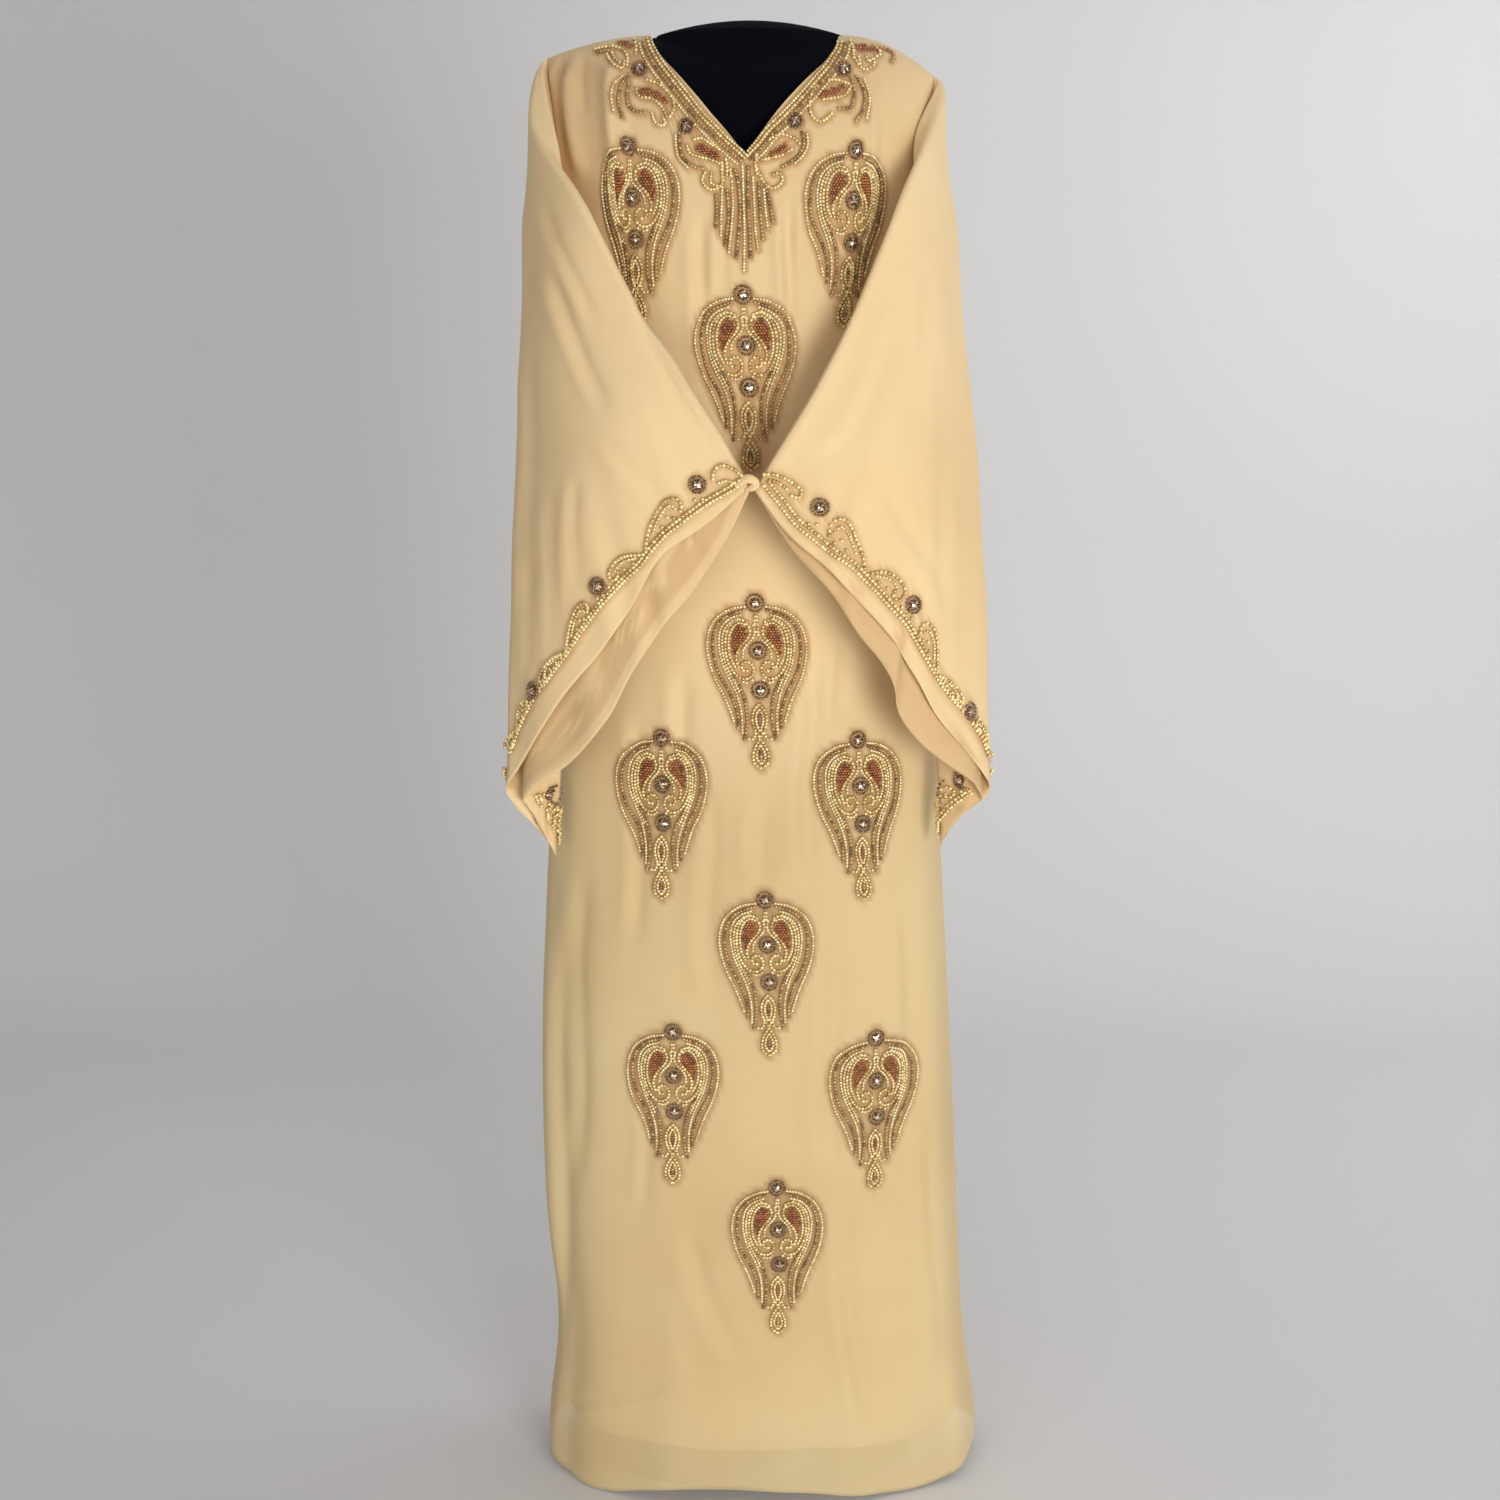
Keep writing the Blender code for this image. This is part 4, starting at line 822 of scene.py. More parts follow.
def stone_shape():
    """A cut stone 11 mm wide with its table facing +Z, and the material of each facet: a bright and a dark
    copy of one crystal, painted glints and dark reflections.
    """
    points = [(0, 0, 4.3)]
    points += [(2.9 * math.cos(a), 2.9 * math.sin(a), 3.6) for a in np.arange(8) * math.pi / 4]
    points += [(5.5 * math.cos(a), 5.5 * math.sin(a), 1.2) for a in (np.arange(16) + 0.5) * math.pi / 8]
    points += [(5.9 * math.cos(a), 5.9 * math.sin(a), -0.8) for a in (np.arange(16) + 0.5) * math.pi / 8]
    faces, slots = [], []
    for i in range(8):
        j = (i + 1) % 8
        faces.append((0, 1 + i, 1 + j))
        slots.append(CRYSTAL_GLINT_FACET if i % 3 else CRYSTAL_DARK_REFLECTION_FACET)
        low, side, high = 9 + (2 * i - 1) % 16, 9 + 2 * i, 9 + (2 * i + 1) % 16
        faces += [(1 + i, low, side), (1 + i, side, 1 + j), (1 + j, side, high)]
        slots += [CRYSTAL_DARK_REFLECTION_FACET, CRYSTAL_GLINT_FACET if i % 2 else CRYSTAL_DARK_REFLECTION_FACET, CRYSTAL_GLINT_FACET]
    faces = [f for k, f in enumerate(faces) if k % 4 != 3]
    slots = [s for k, s in enumerate(slots) if k % 4 != 3]
    for i in range(16):
        j = (i + 1) % 16
        faces += [(9 + i, 25 + i, 25 + j), (9 + i, 25 + j, 9 + j)]
        slots += [6, 6]
    return np.array(points) / 1000, np.array(faces), np.array(slots)


BEAD_POINTS, BEAD_FACES = bead_shape()
STONE_POINTS, STONE_FACES, STONE_SLOTS = stone_shape()
print("bead", len(BEAD_FACES), "triangles, stone", len(STONE_FACES))

# %% Rows of beads on a drawn pattern
FINE_STEPS, ROW_GAP = 40, 0.88


def along_curve(line, spacing):
    """Evenly spaced places on a smooth curve through the points, and its direction there."""
    line = np.array(line, float)
    lengths = run_along(line)
    fine = smooth(lengths, line, np.linspace(0, lengths[-1], FINE_STEPS * len(line)))
    run = run_along(fine)
    count = max(int(round(run[-1] / spacing)), 1)
    at = np.linspace(0, run[-1], count + 1)
    places = np.stack([np.interp(at, run, fine[:, k]) for k in (0, 1)], -1)
    way = unit(np.gradient(places, axis=0))
    return places, way


def row_of(kind, line):
    """Beads of one kind along a curve: kind, place and direction of each."""
    places, way = along_curve(line, KINDS[kind].spacing)
    return [(kind, *p, *w) for p, w in zip(places, way)]


def filled(kind, outline):
    """Beads of one kind that fill an outline in staggered rows."""
    outline = np.array(outline, float)
    low, high = outline.min(0), outline.max(0)
    gap = KINDS[kind].spacing
    beads, row = [], 0
    for v in np.arange(low[1] + 0.4 * gap, high[1], gap * ROW_GAP):
        for u in np.arange(low[0] + (0.5 * gap if row % 2 else 0), high[0], gap):
            x0, y0 = outline.T
            x1, y1 = np.roll(x0, -1), np.roll(y0, -1)
            crossed = ((y0 > v) != (y1 > v)) & (u < (x1 - x0) * (v - y0) / (y1 - y0 + 1e-12) + x0)
            if crossed.sum() % 2:
                beads.append((kind, u, v, 1.0, 0.0))
        row += 1
    return beads


def ring_of(kind, centre, radius, count):
    """Beads of one kind in a ring."""
    turns = np.arange(count) * 2 * math.pi / count
    return [(kind, centre[0] + radius * math.cos(a), centre[1] + radius * math.sin(a),
             -math.sin(a), math.cos(a)) for a in turns]


def mirrored(beads):
    """The same beads on the left half."""
    return [(kind, -u, v, -du, dv) for kind, u, v, du, dv in beads]


# %% One drop motif
# Millimetres right of and below its top stone, on the right half.
HALF_MOTIF = (
    ("pale", ((10.8, 3.4), (22, 5.0), (32, 9.5), (41, 17), (46.8, 28), (49.3, 42), (47.3, 60),
              (42, 77), (35, 92),
              (29.5, 106), (25.8, 118))),
    ("bronze", ((11.5, 6.9), (17, 8.5), (24, 10.6), (32.5, 15.5), (39.3, 23.5), (42.8, 33),
                (43.8, 43), (42.8, 54.5),
                (40.2, 66), (35.5, 77), (30, 87), (25.6, 97), (22.6, 107), (21.4, 117),
                (21.8, 125))),
    ("pale", ((15.5, 11.6), (26.0, 15.5), (34.0, 23.6), (37.2, 34.6), (37.2, 46), (34.6, 60),
              (30, 72), (24.9, 83),
              (20.9, 94), (18.2, 106.5), (17.4, 119), (17.6, 130))),
    ("pale", ((17.5, 15.4), (25.2, 19.2), (31.4, 26.6), (34.0, 36.4), (34.2, 46), (32.2, 58.4),
              (28.0, 69.4),
              (23.4, 78.6), (19.4, 88))),
    ("bronze", ((24.6, 73.5), (20.2, 80.5), (16.6, 88), (14.2, 96), (12.9, 105.5), (12.5, 117),
                (13.7, 128), (16, 137))),
    ("gold", ((9.2, 18.4), (15.6, 16.2), (23.0, 19.4), (28.2, 26.6), (30.8, 36), (31.2, 46),
              (29.6, 57), (25.2, 67),
              (17.6, 74.4), (10.0, 75.2), (4.6, 70.4), (4.6, 62.6), (10, 58.2), (15.0, 60.6),
              (14.6, 66.6), (10.4, 67.4))),
    ("pale", ((11.0, 20.9), (16.6, 19.6), (22.4, 23.4), (26.2, 31), (27.8, 42), (26.6, 54),
              (22.4, 63.0))),
    ("gold", ((9.0, 20.4), (6.2, 26), (7.0, 31.8), (11.0, 37.6), (16, 43.4), (19.7, 50.0),
              (20.6, 57.5), (18.6, 63.4))),
    ("pale", ((2.6, 22), (1.4, 29), (4.2, 35.2), (9.4, 40.6), (13.4, 46.6), (14.2, 53.4))),
    ("pale", ((5.6, 76.8), (9.6, 79.4), (14.6, 78.6))),
    ("gold", ((0.6, 101.5), (5.4, 107.6), (7.2, 115), (6.0, 124), (1.0, 133.6))),
    ("pale", ((0.6, 107), (3.2, 112), (3.6, 118), (1.0, 127.5))),
    ("pale", ((4.4, 130.5), (7.2, 136.6), (11.0, 136.4))),
    ("gold", ((0.6, 137.0), (4.8, 144), (7.6, 153), (6.4, 161.6), (0.9, 166))),
    ("pale", ((0.6, 143.5), (3.4, 149.5), (4.2, 156), (0.9, 161.2))),
    ("pale", ((1.0, 13.2), (1.2, 20.4))),
)
COPPER_FILL = ((10.4, 23.4), (14.6, 21.6), (19.0, 22.6), (22.4, 27.4), (24.8, 34.5), (25.6, 43),
               (24.8, 50.5), (22.2, 52.4),
               (18.2, 47.4), (14.2, 41.0), (10.4, 34.6), (8.8, 28.4))
MOTIF_STONES = ((0.0, 0.0), (1.2, 47.6), (2.2, 87.3))
# How many beads ring a stone and how far out, and the room that the ring takes beyond that
STONE_RING, RING_ROOM = (15, 8.3), 2.3


def motif_beads():
    """Both halves of the pattern, with room round the stones for their rings."""
    half = [bead for kind, line in HALF_MOTIF for bead in row_of(kind, line)]
    half += filled("copper", COPPER_FILL)
    beads = half + mirrored(half)
    beads += row_of("copper", ((0, 112.5), (0, 124))) + row_of("bronze", ((0, 148), (0, 157.5)))
    for stone in MOTIF_STONES:
        beads = [b for b in beads if math.hypot(b[1] - stone[0],
                                                b[2] - stone[1]) > STONE_RING[1] + RING_ROOM]
        beads += ring_of("brown", stone, STONE_RING[1], STONE_RING[0])
    return beads


MOTIF_BEADS = motif_beads()
print("beads in a motif", len(MOTIF_BEADS))

# %% [markdown]
# ## From the pattern to the cloth
# A motif's pattern is laid on the front by its own centre, and the neck's by pixels of the
# picture. Both end as a place and a height on the front panel. The bead then stands on the
# folded cloth, along its normal, so it touches the cloth from any side that it is seen.

# %% Places on the front
FRONT_GUESS, RAY_ROUNDS = -0.115, 40


def on_front(x, z):
    """Points and normals of the finished front at x and z."""
    across = across_at(x, z)
    edge = np.where(across < 0, armhole_edge(z, LEFT), armhole_edge(z, RIGHT))
    top = neck_edge(FRONT, x)

    def at(da, dz):
        return panel_cloth(FRONT, across + da, z + dz, edge, top)

    normal = unit(np.cross(at(STEP_ACROSS, 0) - at(-STEP_ACROSS, 0),
                           at(0, STEP_UP) - at(0, -STEP_UP)))
    return at(0, 0), normal


def front_spots(pixels):
    """The x and z on the front that show at each pixel of the picture."""
    pixels = np.asarray(pixels, float)
    aside, up = (pixels[:, 0] - FRAME / 2) / FOCAL, (FRAME / 2 - pixels[:, 1]) / FOCAL
    ray = np.stack((aside, math.cos(TILT) + up * math.sin(TILT),
                    up * math.cos(TILT) - math.sin(TILT)), -1)
    reach = (FRONT_GUESS - CAMERA[1]) / ray[:, 1]
    for _ in range(RAY_ROUNDS):
        spot = CAMERA + reach[:, None] * ray
        z = np.minimum(spot[:, 2], shoulder_height(spot[:, 0]) - 0.0005)
        away = body_point(FRONT, across_at(spot[:, 0], z), z)[:, 1]
        reach = 0.6 * reach + 0.4 * (away - CAMERA[1]) / ray[:, 1]
    return spot[:, 0], z


BEAD_PLACES = []
# A bead's size varies a little; its middle stands this share of its size above the cloth
BEAD_VARIES, BEAD_REST, BEAD_LONG = (0.93, 1.05), 0.40, 0.94


def bead_mesh(name, beads, stones, node):
    """One mesh of beads and stones; beads are kind, point, normal and direction."""
    BEAD_PLACES.extend(bead[1] for bead in beads)
    draw = random.Random(name)
    points, faces, slots, tints, count = [], [], [], [], 0
    for kind, point, normal, way in beads:
        way = way - normal * np.dot(way, normal) + 1e-7
        way /= np.linalg.norm(way)
        size = KINDS[kind].size / 1000 * draw.uniform(*BEAD_VARIES)
        axes = np.stack((way * BEAD_LONG, np.cross(normal, way), normal * BEAD_FLAT))
        points.append(point + normal * size * BEAD_REST + BEAD_POINTS @ axes * size)
        faces.append(BEAD_FACES + count)
        slots += [KINDS[kind].slot] * len(BEAD_FACES)
        tints += [draw.random()] * len(BEAD_POINTS)
        count += len(BEAD_POINTS)
    smooth_faces = len(slots)
    for point, normal, way in stones:
        way = way - normal * np.dot(way, normal)
        way /= np.linalg.norm(way)
        points.append(point + STONE_POINTS @ np.stack((way, np.cross(normal, way), normal)))
        faces.append(STONE_FACES + count)
        slots += list(STONE_SLOTS)
        tints += [draw.random()] * len(STONE_POINTS)
        count += len(STONE_POINTS)
    mesh = bpy.data.meshes.new(name)
    mesh.from_pydata(np.concatenate(points).tolist(), [], np.concatenate(faces).tolist())
    made = bpy.data.objects.new(name, mesh)
    bpy.context.collection.objects.link(made)
    for paint in BEAD_PAINTS:
        mesh.materials.append(paint)
    mesh.polygons.foreach_set("material_index", np.array(slots, np.int32))
    mesh.polygons.foreach_set("use_smooth", np.arange(len(slots)) < smooth_faces)
    store(made, "tint", tints)
    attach(made, "root")
    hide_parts(node)
    return made


def front_beads(pattern, place):
    """Pattern beads, laid on the front by place(u, v) -> x, z."""
    u, v, du, dv = (np.array([b[k] for b in pattern]) for k in (1, 2, 3, 4))
    x, z = place(u, v)
    x1, z1 = place(u + 0.5 * du, v + 0.5 * dv)
    points, normals = on_front(x, z)
    ahead, _ = on_front(x1, z1)
    return [(b[0], p, n, a - p) for b, p, n, a in zip(pattern, points, normals, ahead)]


# %% Bead materials
def bead_paint(name, dark, light, roughness, metal):
    """Glossy lined glass, each bead a little darker or lighter than the next."""
    made, tree, shader = principled(name, light, roughness, Metallic=metal, Specular_IOR_Level=0.8,
                                    Coat_Weight=0.6, Coat_Roughness=0.06)
    nodes, links = tree.nodes, tree.links
    tint = nodes.new("ShaderNodeAttribute")
    tint.attribute_name = "tint"
    ramp = nodes.new("ShaderNodeValToRGB")
    ramp.color_ramp.elements[0].position, ramp.color_ramp.elements[1].position = 0.0, 0.75
    ramp.color_ramp.elements[0].color = (*dark, 1)
    ramp.color_ramp.elements[1].color = (*light, 1)
    links.new(tint.outputs["Fac"], ramp.inputs["Fac"])
    links.new(ramp.outputs["Color"], shader.inputs["Base Color"])
    return made


BEAD_PAINTS = (
    bead_paint("pale_gold_beads", (0.72, 0.49, 0.18), (1.0, 0.88, 0.50), 0.18, 0.20),
    bead_paint("gold_beads", (0.56, 0.34, 0.10), (1.0, 0.80, 0.36), 0.18, 0.30),
    bead_paint("bronze_beads", (0.20, 0.10, 0.03), (0.58, 0.36, 0.13), 0.22, 0.25),
    bead_paint("copper_beads", (0.22, 0.055, 0.012), (0.52, 0.18, 0.05), 0.26, 0.30),
    # One crystal in a bright and a dark copy, painted glints and dark reflections on alternate facets
    principled("crystal_bright", (0.80, 0.66, 0.53), 0.05, Metallic=0.8)[0],
    principled("crystal_dark", (0.18, 0.095, 0.05), 0.07, Metallic=0.7)[0],
    bead_paint("brown_beads", (0.09, 0.045, 0.016), (0.32, 0.19, 0.08), 0.22, 0.30),
)

# %% The ten motifs
# Its top stone's pixel, how far it leans, and the widths of its left and right halves: on the
# chest the cloth turns away at the sides, and round the hips a little.
Motif = namedtuple("Motif", "name pixel lean left right")
MOTIFS = (
    Motif("chest_left", (628, 147), 0.06, 0.56, 0.95),
    Motif("chest_right", (857, 150), -0.07, 0.95, 0.62),
    Motif("centre_1", (743, 295), 0.047, 0.98, 0.98),
    Motif("centre_2", (755, 603), 0.04, 1.0, 1.0),
    Motif("centre_3", (765, 900), 0.03, 0.97, 0.97),
    Motif("centre_4", (777, 1188), 0.01, 0.97, 0.97),
    Motif("hip_left", (662, 738), -0.01, 0.92, 0.92),
    Motif("hip_right", (858, 740), 0.05, 0.94, 0.86),
    Motif("knee_left", (673, 1032), -0.01, 0.96, 0.96),
    Motif("knee_right", (876, 1038), 0.0, 0.98, 0.94),
)


def make_motif(motif):
    """One motif's beads and stones, laid on the front below its pixel."""
    x0, z0 = (float(v[0]) for v in front_spots([motif.pixel]))

    def place(u, v):
        u = np.where(u < 0, u * motif.left, u * motif.right)
        return x0 + (u + motif.lean * v) / 1000, z0 - v / 1000

    beads = front_beads(MOTIF_BEADS, place)
    x, z = place(*np.array(MOTIF_STONES).T)
    points, normals = on_front(x, z)
    stones = [(p, n, np.array((math.cos(k), 0, math.sin(k)))) for k,
              (p, n) in enumerate(zip(points, normals))]
    return bead_mesh("beads_" + motif.name, beads, stones, "motif_" + motif.name)


motifs = [make_motif(motif) for motif in MOTIFS]
print("motifs", len(motifs), "triangles each", len(motifs[0].data.polygons))

# %% [markdown]
# ## Neck border
# Two rows of gold follow the V's edge. Below them lie bean shapes filled with copper beads,
# each with gold and bronze arcs round it and a small scroll, then a fan of straight rows under
# the V's tip. The two sides were drawn alike but sewn by hand, so each has its own pixels.

# %% Neck patterns, in pixels of the picture
NECK_LEFT = (
    ("gold", ((647.4, 39), (649.4, 46), (654.6, 56.2), (662.2, 67.8), (671.2, 79.3), (681.5, 92.2),
              (690.5, 103.8),
              (702, 117.9), (713.6, 129.5), (725.2, 141.1), (735.5, 150.1), (744.4, 158.4))),
    ("pale", ((650.6, 37), (652.8, 44.5), (658, 54), (665.4, 65.3), (674.4, 76.8), (684.6, 89.7),
              (693.6, 101.3),
              (705.1, 115.4), (716.7, 127), (728.3, 138.6), (738.4, 147.4), (746, 154.6))),
    ("pale", ((639.8, 45), (641.6, 52), (646.8, 62.6), (654.8, 74.2), (663.8, 85.8), (674, 98.8),
              (683, 110.4),
              (694.6, 124.3), (706.2, 136.2), (717.8, 147.8), (728, 156.8), (737, 164))),
    ("bronze", ((643.6, 42), (645.6, 49), (650.8, 59.4), (658.6, 71), (667.6, 82.6), (678, 95.6),
                (687, 107.2),
                (698.4, 121.1), (710.2, 132.9), (721.8, 144.5), (732.2, 153.5), (741, 161))),
    ("gold", ((596, 50), (605, 48), (615.7, 47.6), (623.4, 51), (628, 58), (627.4, 66))),
    ("gold", ((634.2, 40), (636.4, 46), (636, 55))),
    ("bronze", ((598, 53.6), (605, 51.8), (612, 52.4))),
    ("pale", ((607.4, 54.9), (611.3, 62.6), (616.4, 69), (622.9, 69.6), (625, 62))),
    ("pale", ((612.6, 53.6), (615.2, 60), (620, 64))),
    ("bronze", ((630.5, 75.4), (624.2, 81.9), (620.3, 93.5), (619.7, 106.3), (622.9, 119.2))),
    ("pale", ((622.9, 78), (616.4, 88.3), (614.5, 101.2), (616.4, 114))),
    ("bronze", ((629.3, 84.4), (627.4, 96), (629.3, 106.3), (635.7, 112.1), (644.7, 112.7))),
    ("gold", ((647.3, 80.6), (658.9, 84.4), (666.6, 90.9), (673, 99.9), (674.3, 108.9),
              (670.4, 116.6))),
    ("gold", ((637, 89.6), (637.6, 94.7), (640.9, 97.3), (649.9, 98.6), (658.9, 103.8),
              (664, 110.2), (666.6, 116.6))),
    ("pale", ((652.4, 114), (655, 121.8), (660.2, 125.6), (665.3, 124.3), (663, 117))),
    ("bronze", ((679.5, 133.3), (680.1, 144.9), (682, 155.2), (688.5, 162.9), (697.5, 168),
                (702.6, 168.7))),
    ("pale", ((675.6, 135.9), (676.2, 147.5), (679.5, 159), (687.2, 166.8))),
    ("gold", ((694.9, 139.8), (701.3, 138.5), (707.8, 142.3), (715.5, 147.5), (721.9, 151.3))),
    ("gold", ((687.2, 146.2), (689.8, 152.6), (697.5, 156.5), (707.8, 159), (718, 162.9),
              (722.5, 165.4))),
    ("gold", ((722.2, 163), (722.2, 173.2), (723.2, 182.2), (719.3, 187.3), (711.6, 190),
              (705.2, 186), (702.6, 179.6),
              (705.2, 173.2))),
    ("pale", ((711.6, 173.2), (711.6, 183.5), (717, 186))),
)
NECK_LEFT_FILLS = (
    ((639, 91), (643, 88.6), (650, 88.4), (658, 91.6), (665, 97.4), (669, 103.4), (666.4, 105.6),
     (660, 101),
     (652, 96.6), (644, 96.4), (639.4, 95)),
    ((694.4, 145.6), (701, 144), (709, 147.4), (717, 152.4), (723, 158), (719, 160), (710, 157.4),
     (701, 154), (695, 151)),
    ((616, 43), (625, 41.4), (633, 43.4), (634, 50), (629, 49.4), (622, 46.4)),
)
NECK_RIGHT = (
    ("gold", ((841.4, 43), (840, 50), (835, 57.4), (829.6, 66), (819.8, 77.6), (808.6, 90.6),
              (797.8, 102.6),
              (783.4, 117.6), (769, 131.4), (759, 144.2), (747.6, 156))),
    ("pale", ((837.6, 43), (836.4, 48.5), (831.6, 55.4), (826.4, 63.6), (816.7, 75.1),
              (805.5, 88.1), (794.7, 100.1),
              (780.4, 115), (766, 128.7), (755.8, 141.7), (748, 151))),
    ("pale", ((849.4, 47), (848, 54.8), (843, 63.6), (837, 72.6), (827.2, 84), (816, 97),
              (805, 109), (790.8, 124),
              (776.2, 138), (766, 150.6), (754.6, 162.6))),
    ("bronze", ((845.4, 45), (844, 52.4), (839, 60.4), (833, 69.4), (823.2, 80.8), (812, 93.8),
                (801, 105.8),
                (786.8, 120.8), (772.4, 134.6), (762, 147.4), (750.6, 159.4))),
    ("gold", ((850.2, 42), (853.2, 50), (853.6, 58), (858, 64))),
    ("gold", ((873.6, 47.2), (880, 54.9), (876.2, 57.5))),
    ("bronze", ((873, 47.5), (885, 50), (893.5, 56.3), (891, 62))),
    ("pale", ((858.5, 57.4), (862.3, 67.7), (867.5, 69), (873.9, 65.2), (873.9, 60))),
    ("pale", ((866, 58), (868.4, 62), (872, 60))),
    ("bronze", ((855.9, 78), (861.7, 88.3), (864.3, 99.9), (862.3, 111.5), (855.9, 120.5))),
    ("pale", ((863.6, 80.6), (868.1, 96), (867.5, 111.5), (866.2, 118.5))),
    ("bronze", ((850.7, 79.3), (854, 88.3), (853.3, 99.9), (850.7, 107.6), (839.2, 108.9))),
    ("gold", ((828.9, 80.6), (837.9, 80.6), (848.2, 84.4))),
    ("gold", ((816, 85.7), (810.9, 96), (809.6, 106.3), (812.2, 116.6), (819.9, 121.8),
              (826.3, 119.2), (831.5, 114))),
    ("gold", ((823.7, 99.9), (834, 98.6), (845.6, 94.7), (850.7, 87))),
    ("bronze", ((801.9, 133.3), (803.8, 142.3), (800.6, 152.6), (791.6, 161.6), (782.6, 166.8))),
    ("pale", ((807, 134.6), (807.7, 144.9), (803.2, 155.2), (795.4, 162.9))),
    ("gold", ((769.7, 139.8), (778.7, 134.6), (787.7, 135.9), (795.4, 139.8), (799.3, 143.6))),
    ("gold", ((762, 160.3), (772.3, 157.8), (782.6, 155.2), (791.6, 150))),
    ("gold", ((756.9, 155.2), (755.6, 165.5), (759.4, 174.5), (764.6, 183.5), (772.3, 188.6),
              (780, 184.8),
              (782.6, 178.3), (778.7, 173.2), (773.6, 174.5))),
)
NECK_RIGHT_FILLS = (
    ((816, 95), (822, 91), (830, 90), (838, 86), (846, 85), (845, 90), (838, 94), (830, 97),
     (822, 98.6)),
    ((767, 155), (772, 150), (779, 147), (786, 143), (790, 146), (786, 150), (778, 153.6),
     (771, 157)),
    ((853, 46), (860, 44.6), (868, 46), (876, 48), (883, 51.5), (879, 54), (870, 53), (860, 52)),
)
FRINGE_ROWS = (
    ("fringe", ((716.5, 196), (717, 210), (715.5, 227))),
    ("fringe", ((727, 191), (728.5, 205), (728.5, 225), (726, 245))),
    ("fringe", ((735.5, 171), (738, 182), (740, 200), (739.5, 225), (736.5, 257))),
    ("fringe", ((748.5, 168), (748, 185), (748.5, 210), (750, 235), (750.5, 257))),
    ("fringe", ((759, 184), (759.5, 200), (761, 220), (763, 239))),
    ("fringe", ((766, 188), (769, 200), (773.5, 222))),
    ("pale", ((722.5, 178), (722, 200), (720, 235))),
    ("pale", ((732, 182), (733, 205), (731.5, 230), (729.5, 252))),
    ("pale", ((742.5, 164), (743.5, 200), (744.5, 230), (744, 270))),
    ("pale", ((753, 178), (754.5, 210), (755.5, 230), (758, 250))),
    ("pale", ((764, 190), (765.5, 210), (768, 229))),
    ("gold", ((726, 160), (727.5, 168), (727, 175))),
    ("gold", ((756, 157), (755.5, 168), (757, 174))),
    ("gold", ((730.5, 170), (731, 176))),
)
NECK_STONES = {LEFT: ((639.6, 69.0), (686.5, 126.3)), RIGHT: ((843.7, 69.7), (795.4, 121.1))}
NECK_RING, NECK_RING_ROOM = (12, 7.0), 1.8


def pixel_place(u, v):
    """Where a pattern drawn in pixels lies on the front."""
    return front_spots(np.stack((u, v), -1))


def neck_part(name, node, rows, fills, stones):
    """One part of the neck's beadwork, from its rows, fills and stones."""
    beads = [bead for kind, line in rows for bead in row_of(kind, line)]
    beads += [bead for outline in fills for bead in filled("copper", outline)]
    for stone in stones:
        beads = [b for b in beads if math.hypot(b[1] - stone[0],
                                                b[2] - stone[1]) > NECK_RING[1] + NECK_RING_ROOM]
        beads += ring_of("brown", stone, NECK_RING[1], NECK_RING[0])
    laid = front_beads(beads, pixel_place)
    cut = []
    if stones:
        points, normals = on_front(*front_spots(stones))
        cut = [(p, n, np.array((1.0, 0, 0))) for p, n in zip(points, normals)]
    return bead_mesh(name, laid, cut, node)


neck_left = neck_part("beads_neck_left", "neck_border_left", NECK_LEFT, NECK_LEFT_FILLS,
                      NECK_STONES[LEFT])
neck_right = neck_part("beads_neck_right", "neck_border_right", NECK_RIGHT, NECK_RIGHT_FILLS,
                       NECK_STONES[RIGHT])
neck_fringe = neck_part("beads_neck_fringe", "neck_fringe", FRINGE_ROWS, (), ())
print("neck triangles", [len(made.data.polygons) for made in (neck_left, neck_right, neck_fringe)])

# %% [markdown]
# ## Cuff borders
# A double row of gold runs all round each cuff, a finger's width in from the rim. On its inner
# side loops with curled heads rise and fall between the stones. On the front the pattern
# follows pixels of the picture. Round the fold and up the rear it is drawn along the rim, in
# millimetres along and in from it, and repeats from stone to stone.

# %% Places on a sleeve
BEAD_SEAT = 0.0008
# The rings of a sleeve, from its rim, that the front's and the rear's beads can lie on
FRONT_RINGS, REAR_RINGS, INNER_RING = 90, 60, 14


def laid_on(rows, normals, space, goals):
    """Points and normals of a grid where its places in some space come nearest to the goals."""
    high, wide = space.shape[:2]
    tree = kdtree.KDTree(high * wide)
    for k, place in enumerate(space.reshape(-1, 3)):
        tree.insert(place, k)
    tree.balance()
    points, outs = [], []
    for goal in goals:
        r, c = divmod(tree.find(goal)[1], wide)
        r0, r1, c0, c1 = max(r - 1, 0), min(r + 1, high - 1), max(c - 1, 0), min(c + 1, wide - 1)
        steps = [((grid[r1, c] - grid[r0, c]) / (r1 - r0), (grid[r, c1] - grid[r, c0]) / (c1 - c0))
                 for grid in (space, rows)]
        parts, *_ = np.linalg.lstsq(np.stack(steps[0], -1), goal - space[r, c], rcond=None)
        f, g = np.clip(parts, -1.0, 1.0)
        points.append(rows[r, c] + f * steps[1][0] + g * steps[1][1] + BEAD_SEAT * normals[r, c])
        outs.append(normals[r, c])
    return np.array(points), np.array(outs)


def on_sleeve_front(surface, pixels):
    """Places on the front layer that show at pixels of the picture."""
    rows, normals = (part[-FRONT_RINGS:, :round(RIM_FOLD * LAYER) + 3] for part in surface)
    seen = picture(rows)
    flat = np.zeros((*seen.shape[:2], 3))
    flat[..., :2] = seen
    return laid_on(rows, normals, flat, np.column_stack((pixels, np.zeros(len(pixels)))))


